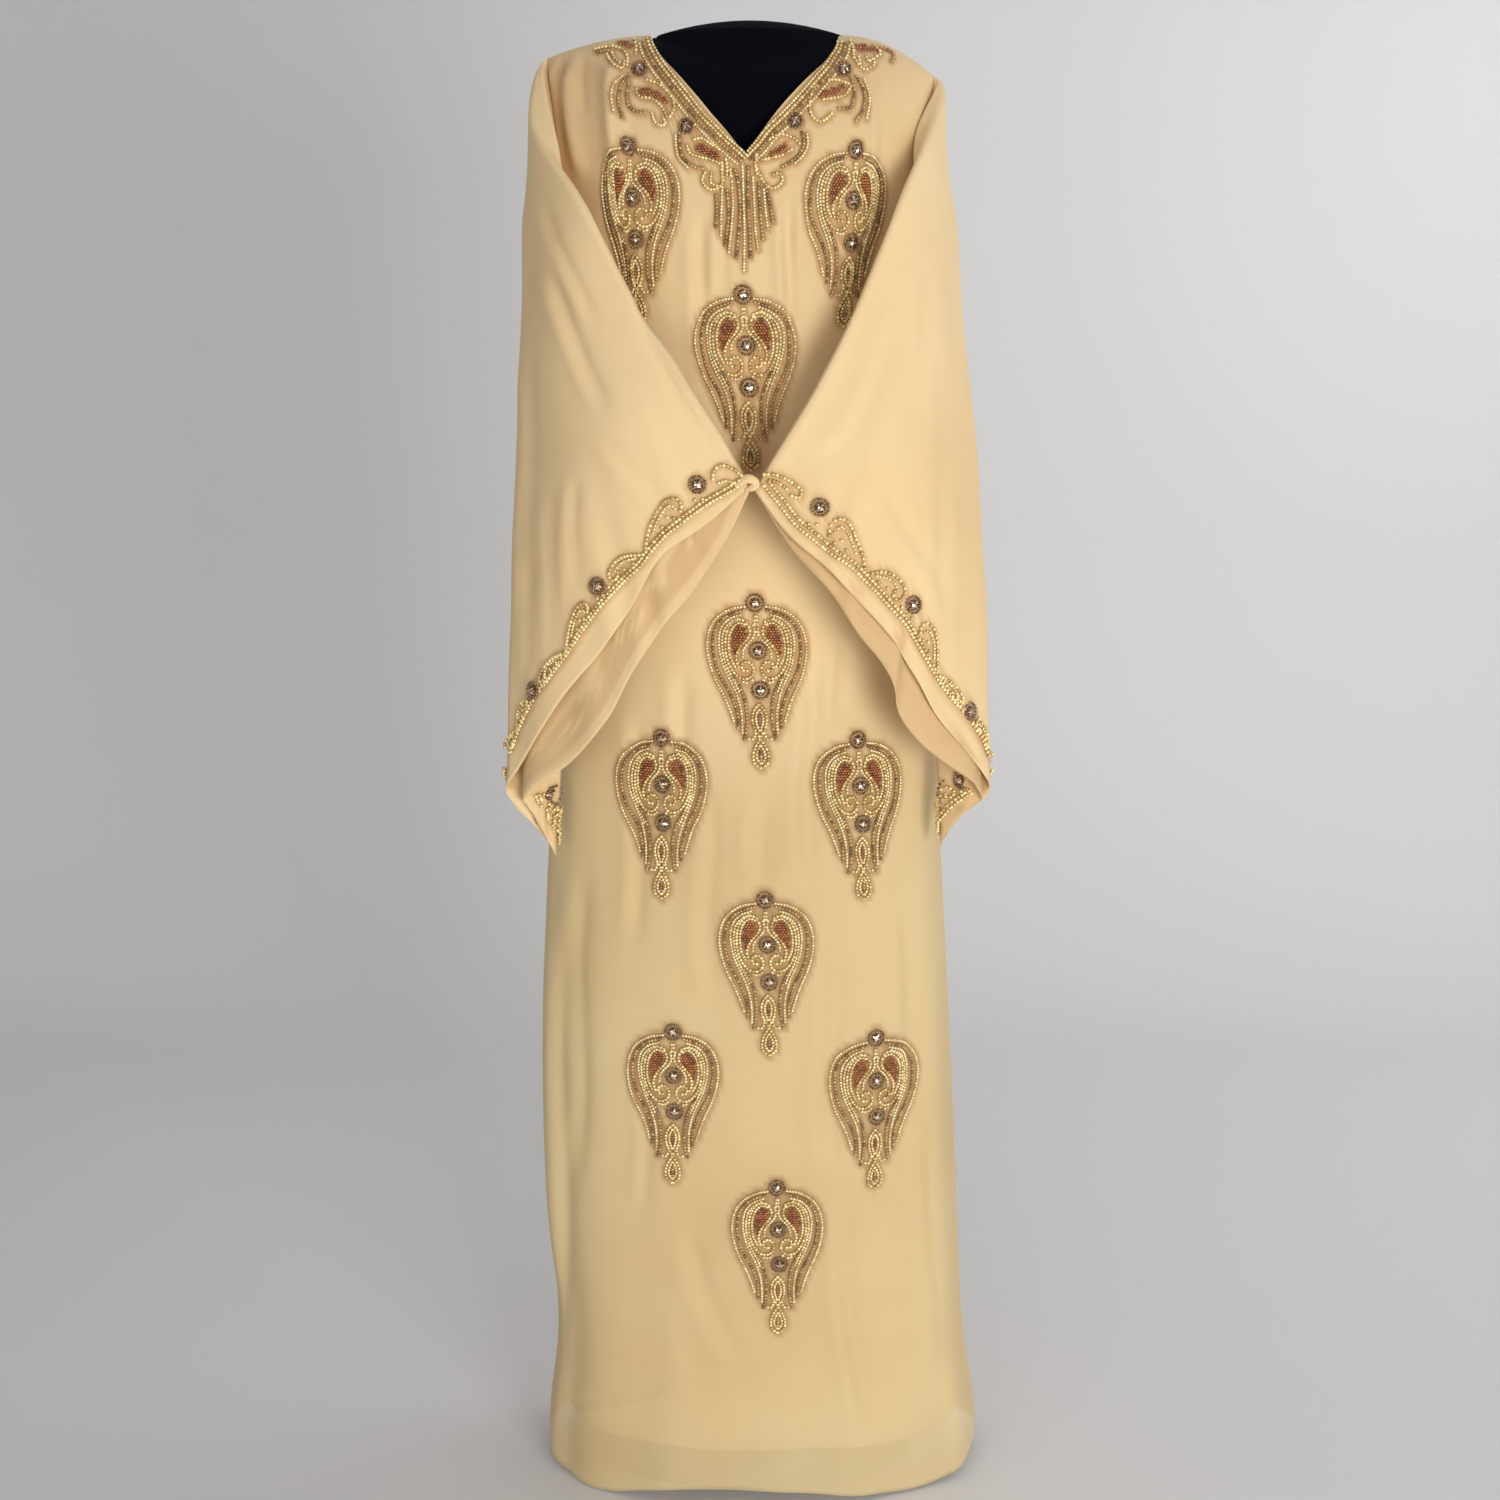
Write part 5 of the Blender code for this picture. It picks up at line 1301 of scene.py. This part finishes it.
def on_sleeve_rear(surface, along, inward):
    """Places on the rear layer, by the way along its rim from the fold and straight in from it."""
    first = round(RIM_FOLD * LAYER) + 1
    rows, normals = (part[-REAR_RINGS:, first:] for part in surface)
    rim = rows[-1]
    run = run_along(rim)
    columns = np.clip(np.interp(along, run, np.arange(len(run))), 0, len(run) - 1.001)
    low, part = columns.astype(int), (columns % 1)[:, None]

    def between(values):
        return values[low] * (1 - part) + values[low + 1] * part

    way = between(unit(np.gradient(rim, axis=0)))
    inner = between(rows[-INNER_RING] - rim)
    inner = unit(inner - way * np.sum(inner * way, axis=1, keepdims=True))
    return laid_on(rows, normals, rows, between(rim) + inner * inward[:, None])


# From one stone to the next, in parts of that way and millimetres in from the rim
LOOPS = (
    ("rope", ((0.20, 21.5), (0.165, 25.5), (0.165, 31.5), (0.215, 35.5), (0.31, 34.5), (0.43, 28.2),
              (0.55, 19.2))),
    ("rope", ((0.60, 17.6), (0.66, 26.5), (0.74, 32.2), (0.82, 33.6), (0.885, 30.2), (0.90, 22.6),
              (0.85, 21.2),
              (0.83, 24.6))),
    ("pale", ((0.22, 25.5), (0.225, 30.0), (0.27, 31.0), (0.35, 28.6), (0.44, 22.6))),
    ("pale", ((0.66, 22.0), (0.74, 27.6), (0.80, 28.6), (0.835, 27.0))),
)
LOOSE = ((0.30, 24), (0.37, 20.5), (0.70, 19.5), (0.07, 21.5), (0.95, 20.5), (0.27, 19.8),
         (0.78, 21.6),
         (0.02, 18.6))
# The band's line on the front, from the tack to the outer fold, and the stones beside it
BANDS = {
    LEFT: ((741, 485), (728, 493), (710, 503), (684, 521.6), (664, 537.4), (653, 550), (641, 566),
           (624, 582), (605, 602),
           (590, 621.6), (579, 637.4), (567, 655.8), (550, 679), (532, 706), (521, 729),
           (513, 752)),
    RIGHT: ((764, 486), (779, 504), (795, 524), (815, 541), (836, 557), (852, 568), (864, 580),
            (877, 593), (892, 610),
            (907, 628), (918, 646), (927, 663), (940, 685), (955, 704), (969, 721), (981, 740),
            (987, 756)),
}
CUFF_STONES = {LEFT: ((697.4, 484.7), (597.9, 586.3), (533.5, 690.5)),
               RIGHT: ((820, 507.4), (913, 604.7), (969.5, 711.5))}
# Small scrolls between the tack and each cuff's first stone, also in pixels
SCROLLS = {
    LEFT: (("rope", ((713, 479), (714, 471), (721, 465.5), (731, 468), (741, 476))),
           ("gold", ((719, 483), (727, 481), (736, 484)))),
    RIGHT: (("rope", ((765, 475), (774, 474.5), (784, 478), (795, 484.5), (802, 491), (800, 497.5),
                      (792, 496))),
            ("gold", ((770, 480), (779, 483), (787, 489)))),
}
CUFF_LINE, CUFF_LINE_GAP, CUFF_STONE_IN = 12.8, 3.9, 30.5
# From stone to stone on the rear, and how wide the front's stones look as the cuff turns away
REPEAT, STONE_FACING, CUFF_RING_ROOM = 122, (1.0, 0.87, 0.62), 2.0
FIRST_STONE, BAND_END, BAND_TRIM = 0.42, 70, 3


def loops_between(start, end, stone=True):
    """The pattern from one stone's place along the rim to the next, in millimetres."""
    way = end - start
    pattern = [bead for kind, line in LOOPS
               for bead in row_of(kind, [(start + part * way, depth) for part, depth in line])]
    pattern += [("gold", start + part * way, depth, 1.0, 0.0) for part, depth in LOOSE]
    return pattern + (ring_of("brown", (start, CUFF_STONE_IN),
                              *reversed(STONE_RING)) if stone else [])


def band_rows(length):
    """The double row that runs along the rim."""
    pattern = []
    for kind, line in (("cord", CUFF_LINE), ("rope", CUFF_LINE + CUFF_LINE_GAP)):
        count = round(length / KINDS[kind].spacing)
        pattern += [(kind, i * length / count, line, 1.0, 0.0) for i in range(count + 1)]
    return pattern


def front_cuff(side, surface):
    """Beads and stones of the cuff's front, placed in pixels beside the band's line."""
    band, _ = along_curve(BANDS[side], 1.0)
    way = unit(np.gradient(band, axis=0))
    stones = np.array(CUFF_STONES[side])
    near = [int(np.argmin(np.linalg.norm(band - stone, axis=1))) for stone in stones]
    away = [max(np.dot(stone - band[k], (side * way[k][1], -side * way[k][0])), 3.0)
            for stone, k in zip(stones, near)]
    ends = [*near, near[2] + BAND_END]
    pattern = [bead for start, end in zip(ends[:-1], ends[1:]) for bead in loops_between(start, end,
                                                                                         False)]
    pattern = [bead for bead in pattern if 4 < bead[1] < len(band) - 2] + band_rows(len(band) - 1)

    def pixels(along, depth):
        at = np.arange(len(band))
        spot = np.stack([np.interp(along, at, band[:, k]) for k in (0, 1)], -1)
        up = side * np.stack([np.interp(along, at, way[:, 1]), np.interp(along, at, -way[:, 0])],
                             -1)
        scale = np.interp(along, near, away) / (CUFF_STONE_IN - CUFF_LINE)
        return spot + up * ((depth - CUFF_LINE) * scale)[:, None]

    u, v, du, dv = (np.array([bead[k] for bead in pattern]) for k in (1, 2, 3, 4))
    here, ahead = pixels(u, v), pixels(u + 0.5 * du, v + 0.5 * dv)
    scrolls = [bead for kind, line in SCROLLS[side] for bead in row_of(kind, line)]
    spots, turns = np.array([bead[1:3] for bead in scrolls]), np.array([bead[3:5] for bead in scrolls])
    here, ahead = np.concatenate((here, spots)), np.concatenate((ahead, spots + 0.5 * turns))
    kinds = [bead[0] for bead in pattern + scrolls]
    for stone, facing in zip(stones, STONE_FACING):
        clear = np.linalg.norm((here - stone) / (facing, 1.0),
                               axis=1) > STONE_RING[1] + CUFF_RING_ROOM
        here, ahead, kinds = here[clear], ahead[clear], [k for k, keep in zip(kinds, clear) if keep]
        ring = np.array([bead[1:] for bead in ring_of("brown", (0.0, 0.0), *reversed(STONE_RING))])
        here = np.concatenate((here, stone + ring[:, :2] * (facing, 1.0)))
        ahead = np.concatenate((ahead, stone + (ring[:, :2] + 0.5 * ring[:, 2:]) * (facing, 1.0)))
        kinds += ["brown"] * len(ring)
    points, outs = on_sleeve_front(surface, here)
    next_points, _ = on_sleeve_front(surface, ahead)
    spots, spot_outs = on_sleeve_front(surface, stones)
    return ([(k, p, n, q - p) for k, p, n, q in zip(kinds, points, outs, next_points)],
            [(p, n, np.array((0.3, 0, 1.0))) for p, n in zip(spots, spot_outs)])


def rear_cuff(surface):
    """Beads and stones from the outer fold round to the tack."""
    rim = surface[0][-1, round(RIM_FOLD * LAYER) + 1:]
    length = 1000 * np.linalg.norm(np.diff(rim, axis=0), axis=1).sum()
    count = round(length / REPEAT)
    starts = [length * (k + FIRST_STONE) / count for k in range(count)]
    pattern = band_rows(length)
    for start in starts:
        pattern += [b for b in loops_between(start, start + length / count) if b[1] < length - BAND_TRIM]
    pattern += [b for b in loops_between(starts[0] - length / count, starts[0],
                                         False) if b[1] > BAND_TRIM]
    u, v, du, dv = (np.array([bead[k] for bead in pattern]) / 1000 for k in (1, 2, 3, 4))
    points, outs = on_sleeve_rear(surface, u, v)
    next_points, _ = on_sleeve_rear(surface, u + 0.5 * du, v + 0.5 * dv)
    spots, spot_outs = on_sleeve_rear(surface, np.array(starts) / 1000,
                                      np.full(count, CUFF_STONE_IN / 1000))
    return ([(b[0], p, n, q - p) for b, p, n, q in zip(pattern, points, outs, next_points)],
            [(p, n, np.array((0.3, 0, 1.0))) for p, n in zip(spots, spot_outs)])


def make_cuff(name, node, side, surface):
    """All the beads and stones of one cuff."""
    front, front_stones = front_cuff(side, surface)
    rear, rear_stones = rear_cuff(surface)
    return bead_mesh(name, front + rear, front_stones + rear_stones, node)


# %% Both cuffs
cuff_left = make_cuff("beads_cuff_left", "cuff_border_left", LEFT, sleeve_left_surface)
cuff_right = make_cuff("beads_cuff_right", "cuff_border_right", RIGHT, sleeve_right_surface)
print("cuff triangles", [len(made.data.polygons) for made in (cuff_left, cuff_right)])

# %% Cloth under the beadwork and in one fold, with painted shade
# Round the beads the cloth looks darker: partly the stitched ground's own deeper tone, partly painted shade
# from the beads.
SHADE_REACH, SHADE_GROWTH = 0.0066, 0.0046
# Painted shade in the fold beside the left sleeve, and a slight darkening of the whole bodice
BODICE_SHADE, FOLD_SHADE, BODICE_FOOT, BODICE_GROWTH = 0.14, 0.36, 1.02, 0.14


def shade_under_beads(made, strength):
    """Add a darker ground and painted bead shade to a piece's stored darkening, wherever its points lie
    close to a bead.
    """
    tree = kdtree.KDTree(len(BEAD_PLACES))
    for k, place in enumerate(BEAD_PLACES):
        tree.insert(place, k)
    tree.balance()
    near = np.array([tree.find(vertex.co)[2] for vertex in made.data.vertices])
    shade = np.zeros(len(near), np.float32)
    if "ground" in made.data.attributes:
        made.data.attributes["ground"].data.foreach_get("value", shade)
        made.data.attributes.remove(made.data.attributes["ground"])
    store(made, "ground", np.maximum(shade, strength * step((SHADE_REACH - near) / SHADE_GROWTH)))


def shade_bodice(made):
    """Darken the front a little above the waist, and paint shade into the fold beside the left sleeve."""
    points = np.array([vertex.co for vertex in made.data.vertices])
    x, y = np.moveaxis(picture(points), -1, 0)
    # Painted shade: a window of pixels beside the left sleeve, where the fold lies in shadow
    fold = step((612 - x) / 18) * step((x - 530) / 10) * step((y - 40) / 34) * step((280 - y) / 90)
    bodice = BODICE_SHADE * step((points[:, 2] - BODICE_FOOT) / BODICE_GROWTH)
    store(made, "ground", bodice + FOLD_SHADE * fold)


shade_bodice(abaya_front)
for made, strength in ((abaya_front, 1.0), (sleeve_left, 0.6), (sleeve_right, 0.6)):
    shade_under_beads(made, strength)
print("bead places", len(BEAD_PLACES))

# %% [markdown]
# ## The tack
# Where the cuffs meet, their corners are rolled round each other and caught with a few
# stitches. Here that is a short twist of cloth: a tube that narrows, widens and turns, with
# grooves that wind round it. It is bent so that the left cloth lies over the right.

# %% Tack
TACK = np.array((-0.001, -0.1865, 1.1075))
TWIST_PATH = ((-13.0, -1.0, -2.5), (-7.5, -2.6, 1.4), (-1.0, -4.4, 4.2), (4.8, -5.2, 2.6),
              (6.4, -4.0, -1.4),
              (2.4, -2.6, -4.4), (-3.4, -1.0, -5.4))
TWIST_SIZE = ((1.6, 3.4), (3.4, 4.4), (4.4, 4.0), (4.0, 3.4), (3.8, 3.4), (3.4, 3.0), (1.4, 2.0))


TWIST_STEPS, TWIST_SIDES, TWIST_SCALE = 44, 28, 0.95
GROOVES, GROOVE_DEPTH, GROOVE_TURN = 3, 0.10, 5.5


def close_ends(made):
    """Fill the two open ends of a tube and turn its faces outwards."""
    shape = bmesh.new()
    shape.from_mesh(made.data)
    bmesh.ops.holes_fill(shape, edges=shape.edges)
    bmesh.ops.recalc_face_normals(shape, faces=shape.faces)
    shape.to_mesh(made.data)
    shape.free()
    made.data.shade_smooth()


def make_twist(name, node):
    """The knotted tack, a grooved tube bent along its path."""
    at = np.linspace(0, 1, len(TWIST_PATH))
    path = smooth(at, TWIST_PATH, np.linspace(0, 1, TWIST_STEPS)) / 1000
    size = smooth(at, TWIST_SIZE, np.linspace(0, 1, TWIST_STEPS)) * TWIST_SCALE / 1000
    way = unit(np.gradient(path, axis=0))
    aside = unit(np.cross(way, (0.0, 1.0, 0.0)))
    out = np.cross(aside, way)
    turn = np.arange(TWIST_SIDES) * 2 * math.pi / TWIST_SIDES
    winding = np.linspace(0, GROOVE_TURN, TWIST_STEPS)[:, None]
    groove = 1 + GROOVE_DEPTH * np.sin(GROOVES * turn[None] + winding)
    ring = (aside[:, None] * (np.cos(turn) * groove)[..., None] * size[:, :1, None]
            + out[:, None] * (np.sin(turn) * groove)[..., None] * size[:, 1:, None])
    made = grid_mesh(name, TACK + path[:, None] + ring, closed=True)
    close_ends(made)
    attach(made, "root")
    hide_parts(node)
    return made


tack = make_twist("cuff_tack_twist", "cuff_tack")
print("tack faces", len(tack.data.polygons))

# %% [markdown]
# ## Dress form
# The form is foam under black jersey, limbless and smooth, and the gown rests on its
# shoulders. It is the solid's own shape with four times the points round it.

# %% Form
Round = namedtuple("Round", "height half front back")
FORM = (Round(0.720, 0.135, 0.070, 0.076), Round(0.760, 0.152, 0.084, 0.088),
        Round(0.860, 0.162, 0.092, 0.088),
        Round(0.980, 0.148, 0.088, 0.074), Round(1.090, 0.132, 0.084, 0.064),
        Round(1.180, 0.146, 0.096, 0.070),
        Round(1.280, 0.168, 0.112, 0.078))
FORM_CLEAR, FORM_CORNER, FORM_BOXINESS, FORM_SEAT = 0.0030, 0.010, 0.92, 0.0011
NECK_STUMP, NECK_DOME, DOME_RISE = (0.094, 0.047), 1.5545, 0.0150
FORM_SIDES, TRUNK_RINGS = 120, 40
SHOULDER_RINGS = (0.0, 0.05, 0.11, 0.18, 0.30, 0.42, 0.56, 0.70, 0.85, 1.0)
DOME_RINGS = (0.99, 0.96, 0.90, 0.80, 0.65, 0.50, 0.35, 0.20, 0.08)


def form_top(turn, part):
    """Points of the form's shoulders; part runs from 0, its girth, to 1, the neck."""
    sine, cosine = np.sin(turn), np.cos(turn)
    half = half_width(np.where(sine < 0, LEFT, RIGHT), SHOULDER_TOP) - FORM_CLEAR
    depth = np.where(cosine > 0, BODY[-1, 3], BODY[-1, 4]) - FORM_CLEAR
    x = np.sign(sine) * (half * np.abs(sine) ** BOXINESS * (1 - part) + NECK_STUMP[0] * np.abs(sine) * part)
    away = depth * np.abs(cosine) ** BOXINESS * (1 - part) + NECK_STUMP[1] * np.abs(cosine) * part
    edge = np.sqrt(np.maximum(1 - (np.abs(x) / half) ** (2 / BOXINESS), 0.0)) ** BOXINESS
    forward = np.minimum(away / np.maximum(depth * edge, 1e-9), 1.0) if part else np.ones_like(turn)
    drop = SHOULDER_ROUND * (1 - np.sqrt(1 - forward ** 2))
    z = shoulder_height(x) - WALL - FORM_SEAT - drop - FORM_CORNER * (np.abs(x) / half) ** 10
    return np.stack((x, -np.sign(cosine) * away, z), -1)


def make_form(name, node):
    """The dress form: rings up the trunk, over the shoulders and up to the neck's dome."""
    turns = (np.arange(FORM_SIDES) + 0.5) * 2 * math.pi / FORM_SIDES
    sine, cosine = np.sin(turns), np.cos(turns)
    heights = [row.height for row in FORM]
    rings = []
    for height in np.linspace(heights[0], heights[-1], TRUNK_RINGS):
        half, front, back = (float(smooth(heights, [getattr(row, k) for row in FORM], height))
                             for k in ("half", "front", "back"))
        away = np.where(cosine > 0, front, back) * np.abs(cosine) ** FORM_BOXINESS
        rings.append(np.stack((np.sign(sine) * half * np.abs(sine) ** FORM_BOXINESS,
                               -np.sign(cosine) * away,
                               np.full(FORM_SIDES, height)), -1))
    rings += [form_top(turns, part) for part in SHOULDER_RINGS]
    for scale in DOME_RINGS:
        rings.append(np.stack((NECK_STUMP[0] * scale * sine, -NECK_STUMP[1] * scale * cosine,
                               np.full(FORM_SIDES, NECK_DOME - DOME_RISE * scale ** 2)), -1))
    made = grid_mesh(name, np.array(rings)[::-1], closed=True)
    close_ends(made)
    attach(made, "root")
    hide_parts(node)
    return made


form = make_form("dress_form_smooth", "dress_form")
print("form faces", len(form.data.polygons))

# %% [markdown]
# ## Cloth materials
# Georgette has a fine pebbled grain from its twisted yarns, hardly any shine, and a warm tone
# that shifts a little over a large area. Its skirt is one sheer layer: light passes between
# the yarns, so the lining shows as a deeper tone behind it. The lining is a plain satin weave.

# %% Georgette, lining and jersey
# The dark colour that the stored number mixes in: the beadwork's deeper ground, a slightly darker bodice,
# and painted shade
DARK_TONE_AND_SHADE = (0.52, 0.31, 0.14)


def noise(tree, scale, detail=2.0):
    """Noise over the object's own space."""
    place, made = tree.nodes.new("ShaderNodeTexCoord"), tree.nodes.new("ShaderNodeTexNoise")
    made.inputs["Scale"].default_value = scale
    made.inputs["Detail"].default_value = detail
    tree.links.new(place.outputs["Object"], made.inputs["Vector"])
    return made.outputs["Fac"]


def bump(tree, height, strength, distance):
    """Relief from a height; its node, so that another can lie under it."""
    made = tree.nodes.new("ShaderNodeBump")
    made.inputs["Strength"].default_value = strength
    made.inputs["Distance"].default_value = distance
    tree.links.new(height, made.inputs["Height"])
    return made


def cloth_paint(name, dark, light, roughness, sheer):
    """A soft matt cloth in two near tones; a sheer one lets light through where it hangs free."""
    made, tree, shader = principled(name, light, roughness, Sheen_Weight=0.25, Sheen_Roughness=0.5,
                                    Specular_IOR_Level=0.25)
    shader.inputs["Sheen Tint"].default_value = (1.0, 0.86, 0.62, 1)
    nodes, links = tree.nodes, tree.links
    ramp = nodes.new("ShaderNodeValToRGB")
    ramp.color_ramp.elements[0].position, ramp.color_ramp.elements[1].position = 0.3, 0.7
    ramp.color_ramp.elements[0].color, ramp.color_ramp.elements[1].color = (*dark, 1), (*light, 1)
    links.new(noise(tree, 4.0, 3.0), ramp.inputs["Fac"])
    # Mix in the dark colour by the stored number: the beadwork's ground tone, a slightly darker bodice, and
    # painted shade in the left fold, inside the cuffs and round the beads
    ground = nodes.new("ShaderNodeAttribute")
    ground.attribute_name = "ground"
    under = nodes.new("ShaderNodeMix")
    under.data_type = "RGBA"
    under.inputs["B"].default_value = (*DARK_TONE_AND_SHADE, 1)
    links.new(ground.outputs["Fac"], under.inputs["Factor"])
    links.new(ramp.outputs["Color"], under.inputs["A"])
    links.new(under.outputs["Result"], shader.inputs["Base Color"])
    fine = bump(tree, noise(tree, 900.0), 0.30, 0.0004)
    soft = bump(tree, noise(tree, 60.0, 3.0), 0.25, 0.0015)
    links.new(fine.outputs["Normal"], soft.inputs["Normal"])
    links.new(soft.outputs["Normal"], shader.inputs["Normal"])
    if sheer:
        thin = nodes.new("ShaderNodeAttribute")
        thin.attribute_name = "sheer"
        span = nodes.new("ShaderNodeMapRange")
        span.inputs["To Min"].default_value = 1.0
        span.inputs["To Max"].default_value = sheer
        links.new(thin.outputs["Fac"], span.inputs["Value"])
        links.new(span.outputs["Result"], shader.inputs["Alpha"])
        cooler = nodes.new("ShaderNodeMix")
        cooler.data_type, cooler.blend_type = "RGBA", "MULTIPLY"
        cooler.inputs["B"].default_value = (1.02, 1.085, 1.08, 1)
        links.new(thin.outputs["Fac"], cooler.inputs["Factor"])
        links.new(under.outputs["Result"], cooler.inputs["A"])
        links.new(cooler.outputs["Result"], shader.inputs["Base Color"])
    return made


GEORGETTE_DARK, GEORGETTE_LIGHT = (0.75, 0.53, 0.275), (0.83, 0.635, 0.36)
skirt_cloth = cloth_paint("champagne_georgette_sheer", GEORGETTE_DARK, GEORGETTE_LIGHT, 0.75, 0.54)
sleeve_cloth = cloth_paint("champagne_georgette", GEORGETTE_DARK, GEORGETTE_LIGHT, 0.75, None)
lining_cloth = cloth_paint("champagne_lining", (0.90, 0.75, 0.47), (0.96, 0.84, 0.56), 0.55, None)
jersey, _, _ = principled("black_jersey", (0.0012, 0.0016, 0.0045), 0.9, Specular_IOR_Level=0.08)
for made in (abaya_front, abaya_back):
    made.data.materials.append(skirt_cloth)
for made in (sleeve_left, sleeve_right, tack):
    made.data.materials.append(sleeve_cloth)
lining.data.materials.append(lining_cloth)
form.data.materials.append(jersey)
print("cloth materials", 3)

# %% Stand
# A steel tube and plate with a fine black powder coat, which leaves a slightly rough skin
powder, powder_tree, powder_shader = principled("black_powder_coat", (0.018, 0.018, 0.020), 0.55)
rough_skin = bump(powder_tree, noise(powder_tree, 1400.0), 0.25, 0.0002)
powder_tree.links.new(rough_skin.outputs["Normal"], powder_shader.inputs["Normal"])
for name in ("stand_pole", "stand_foot"):
    metal = bpy.data.objects[name]
    if not metal.material_slots:
        metal.data.materials.append(powder)
    for slot in metal.material_slots:
        slot.material = powder
    print(name, "has", len(metal.material_slots), "material")
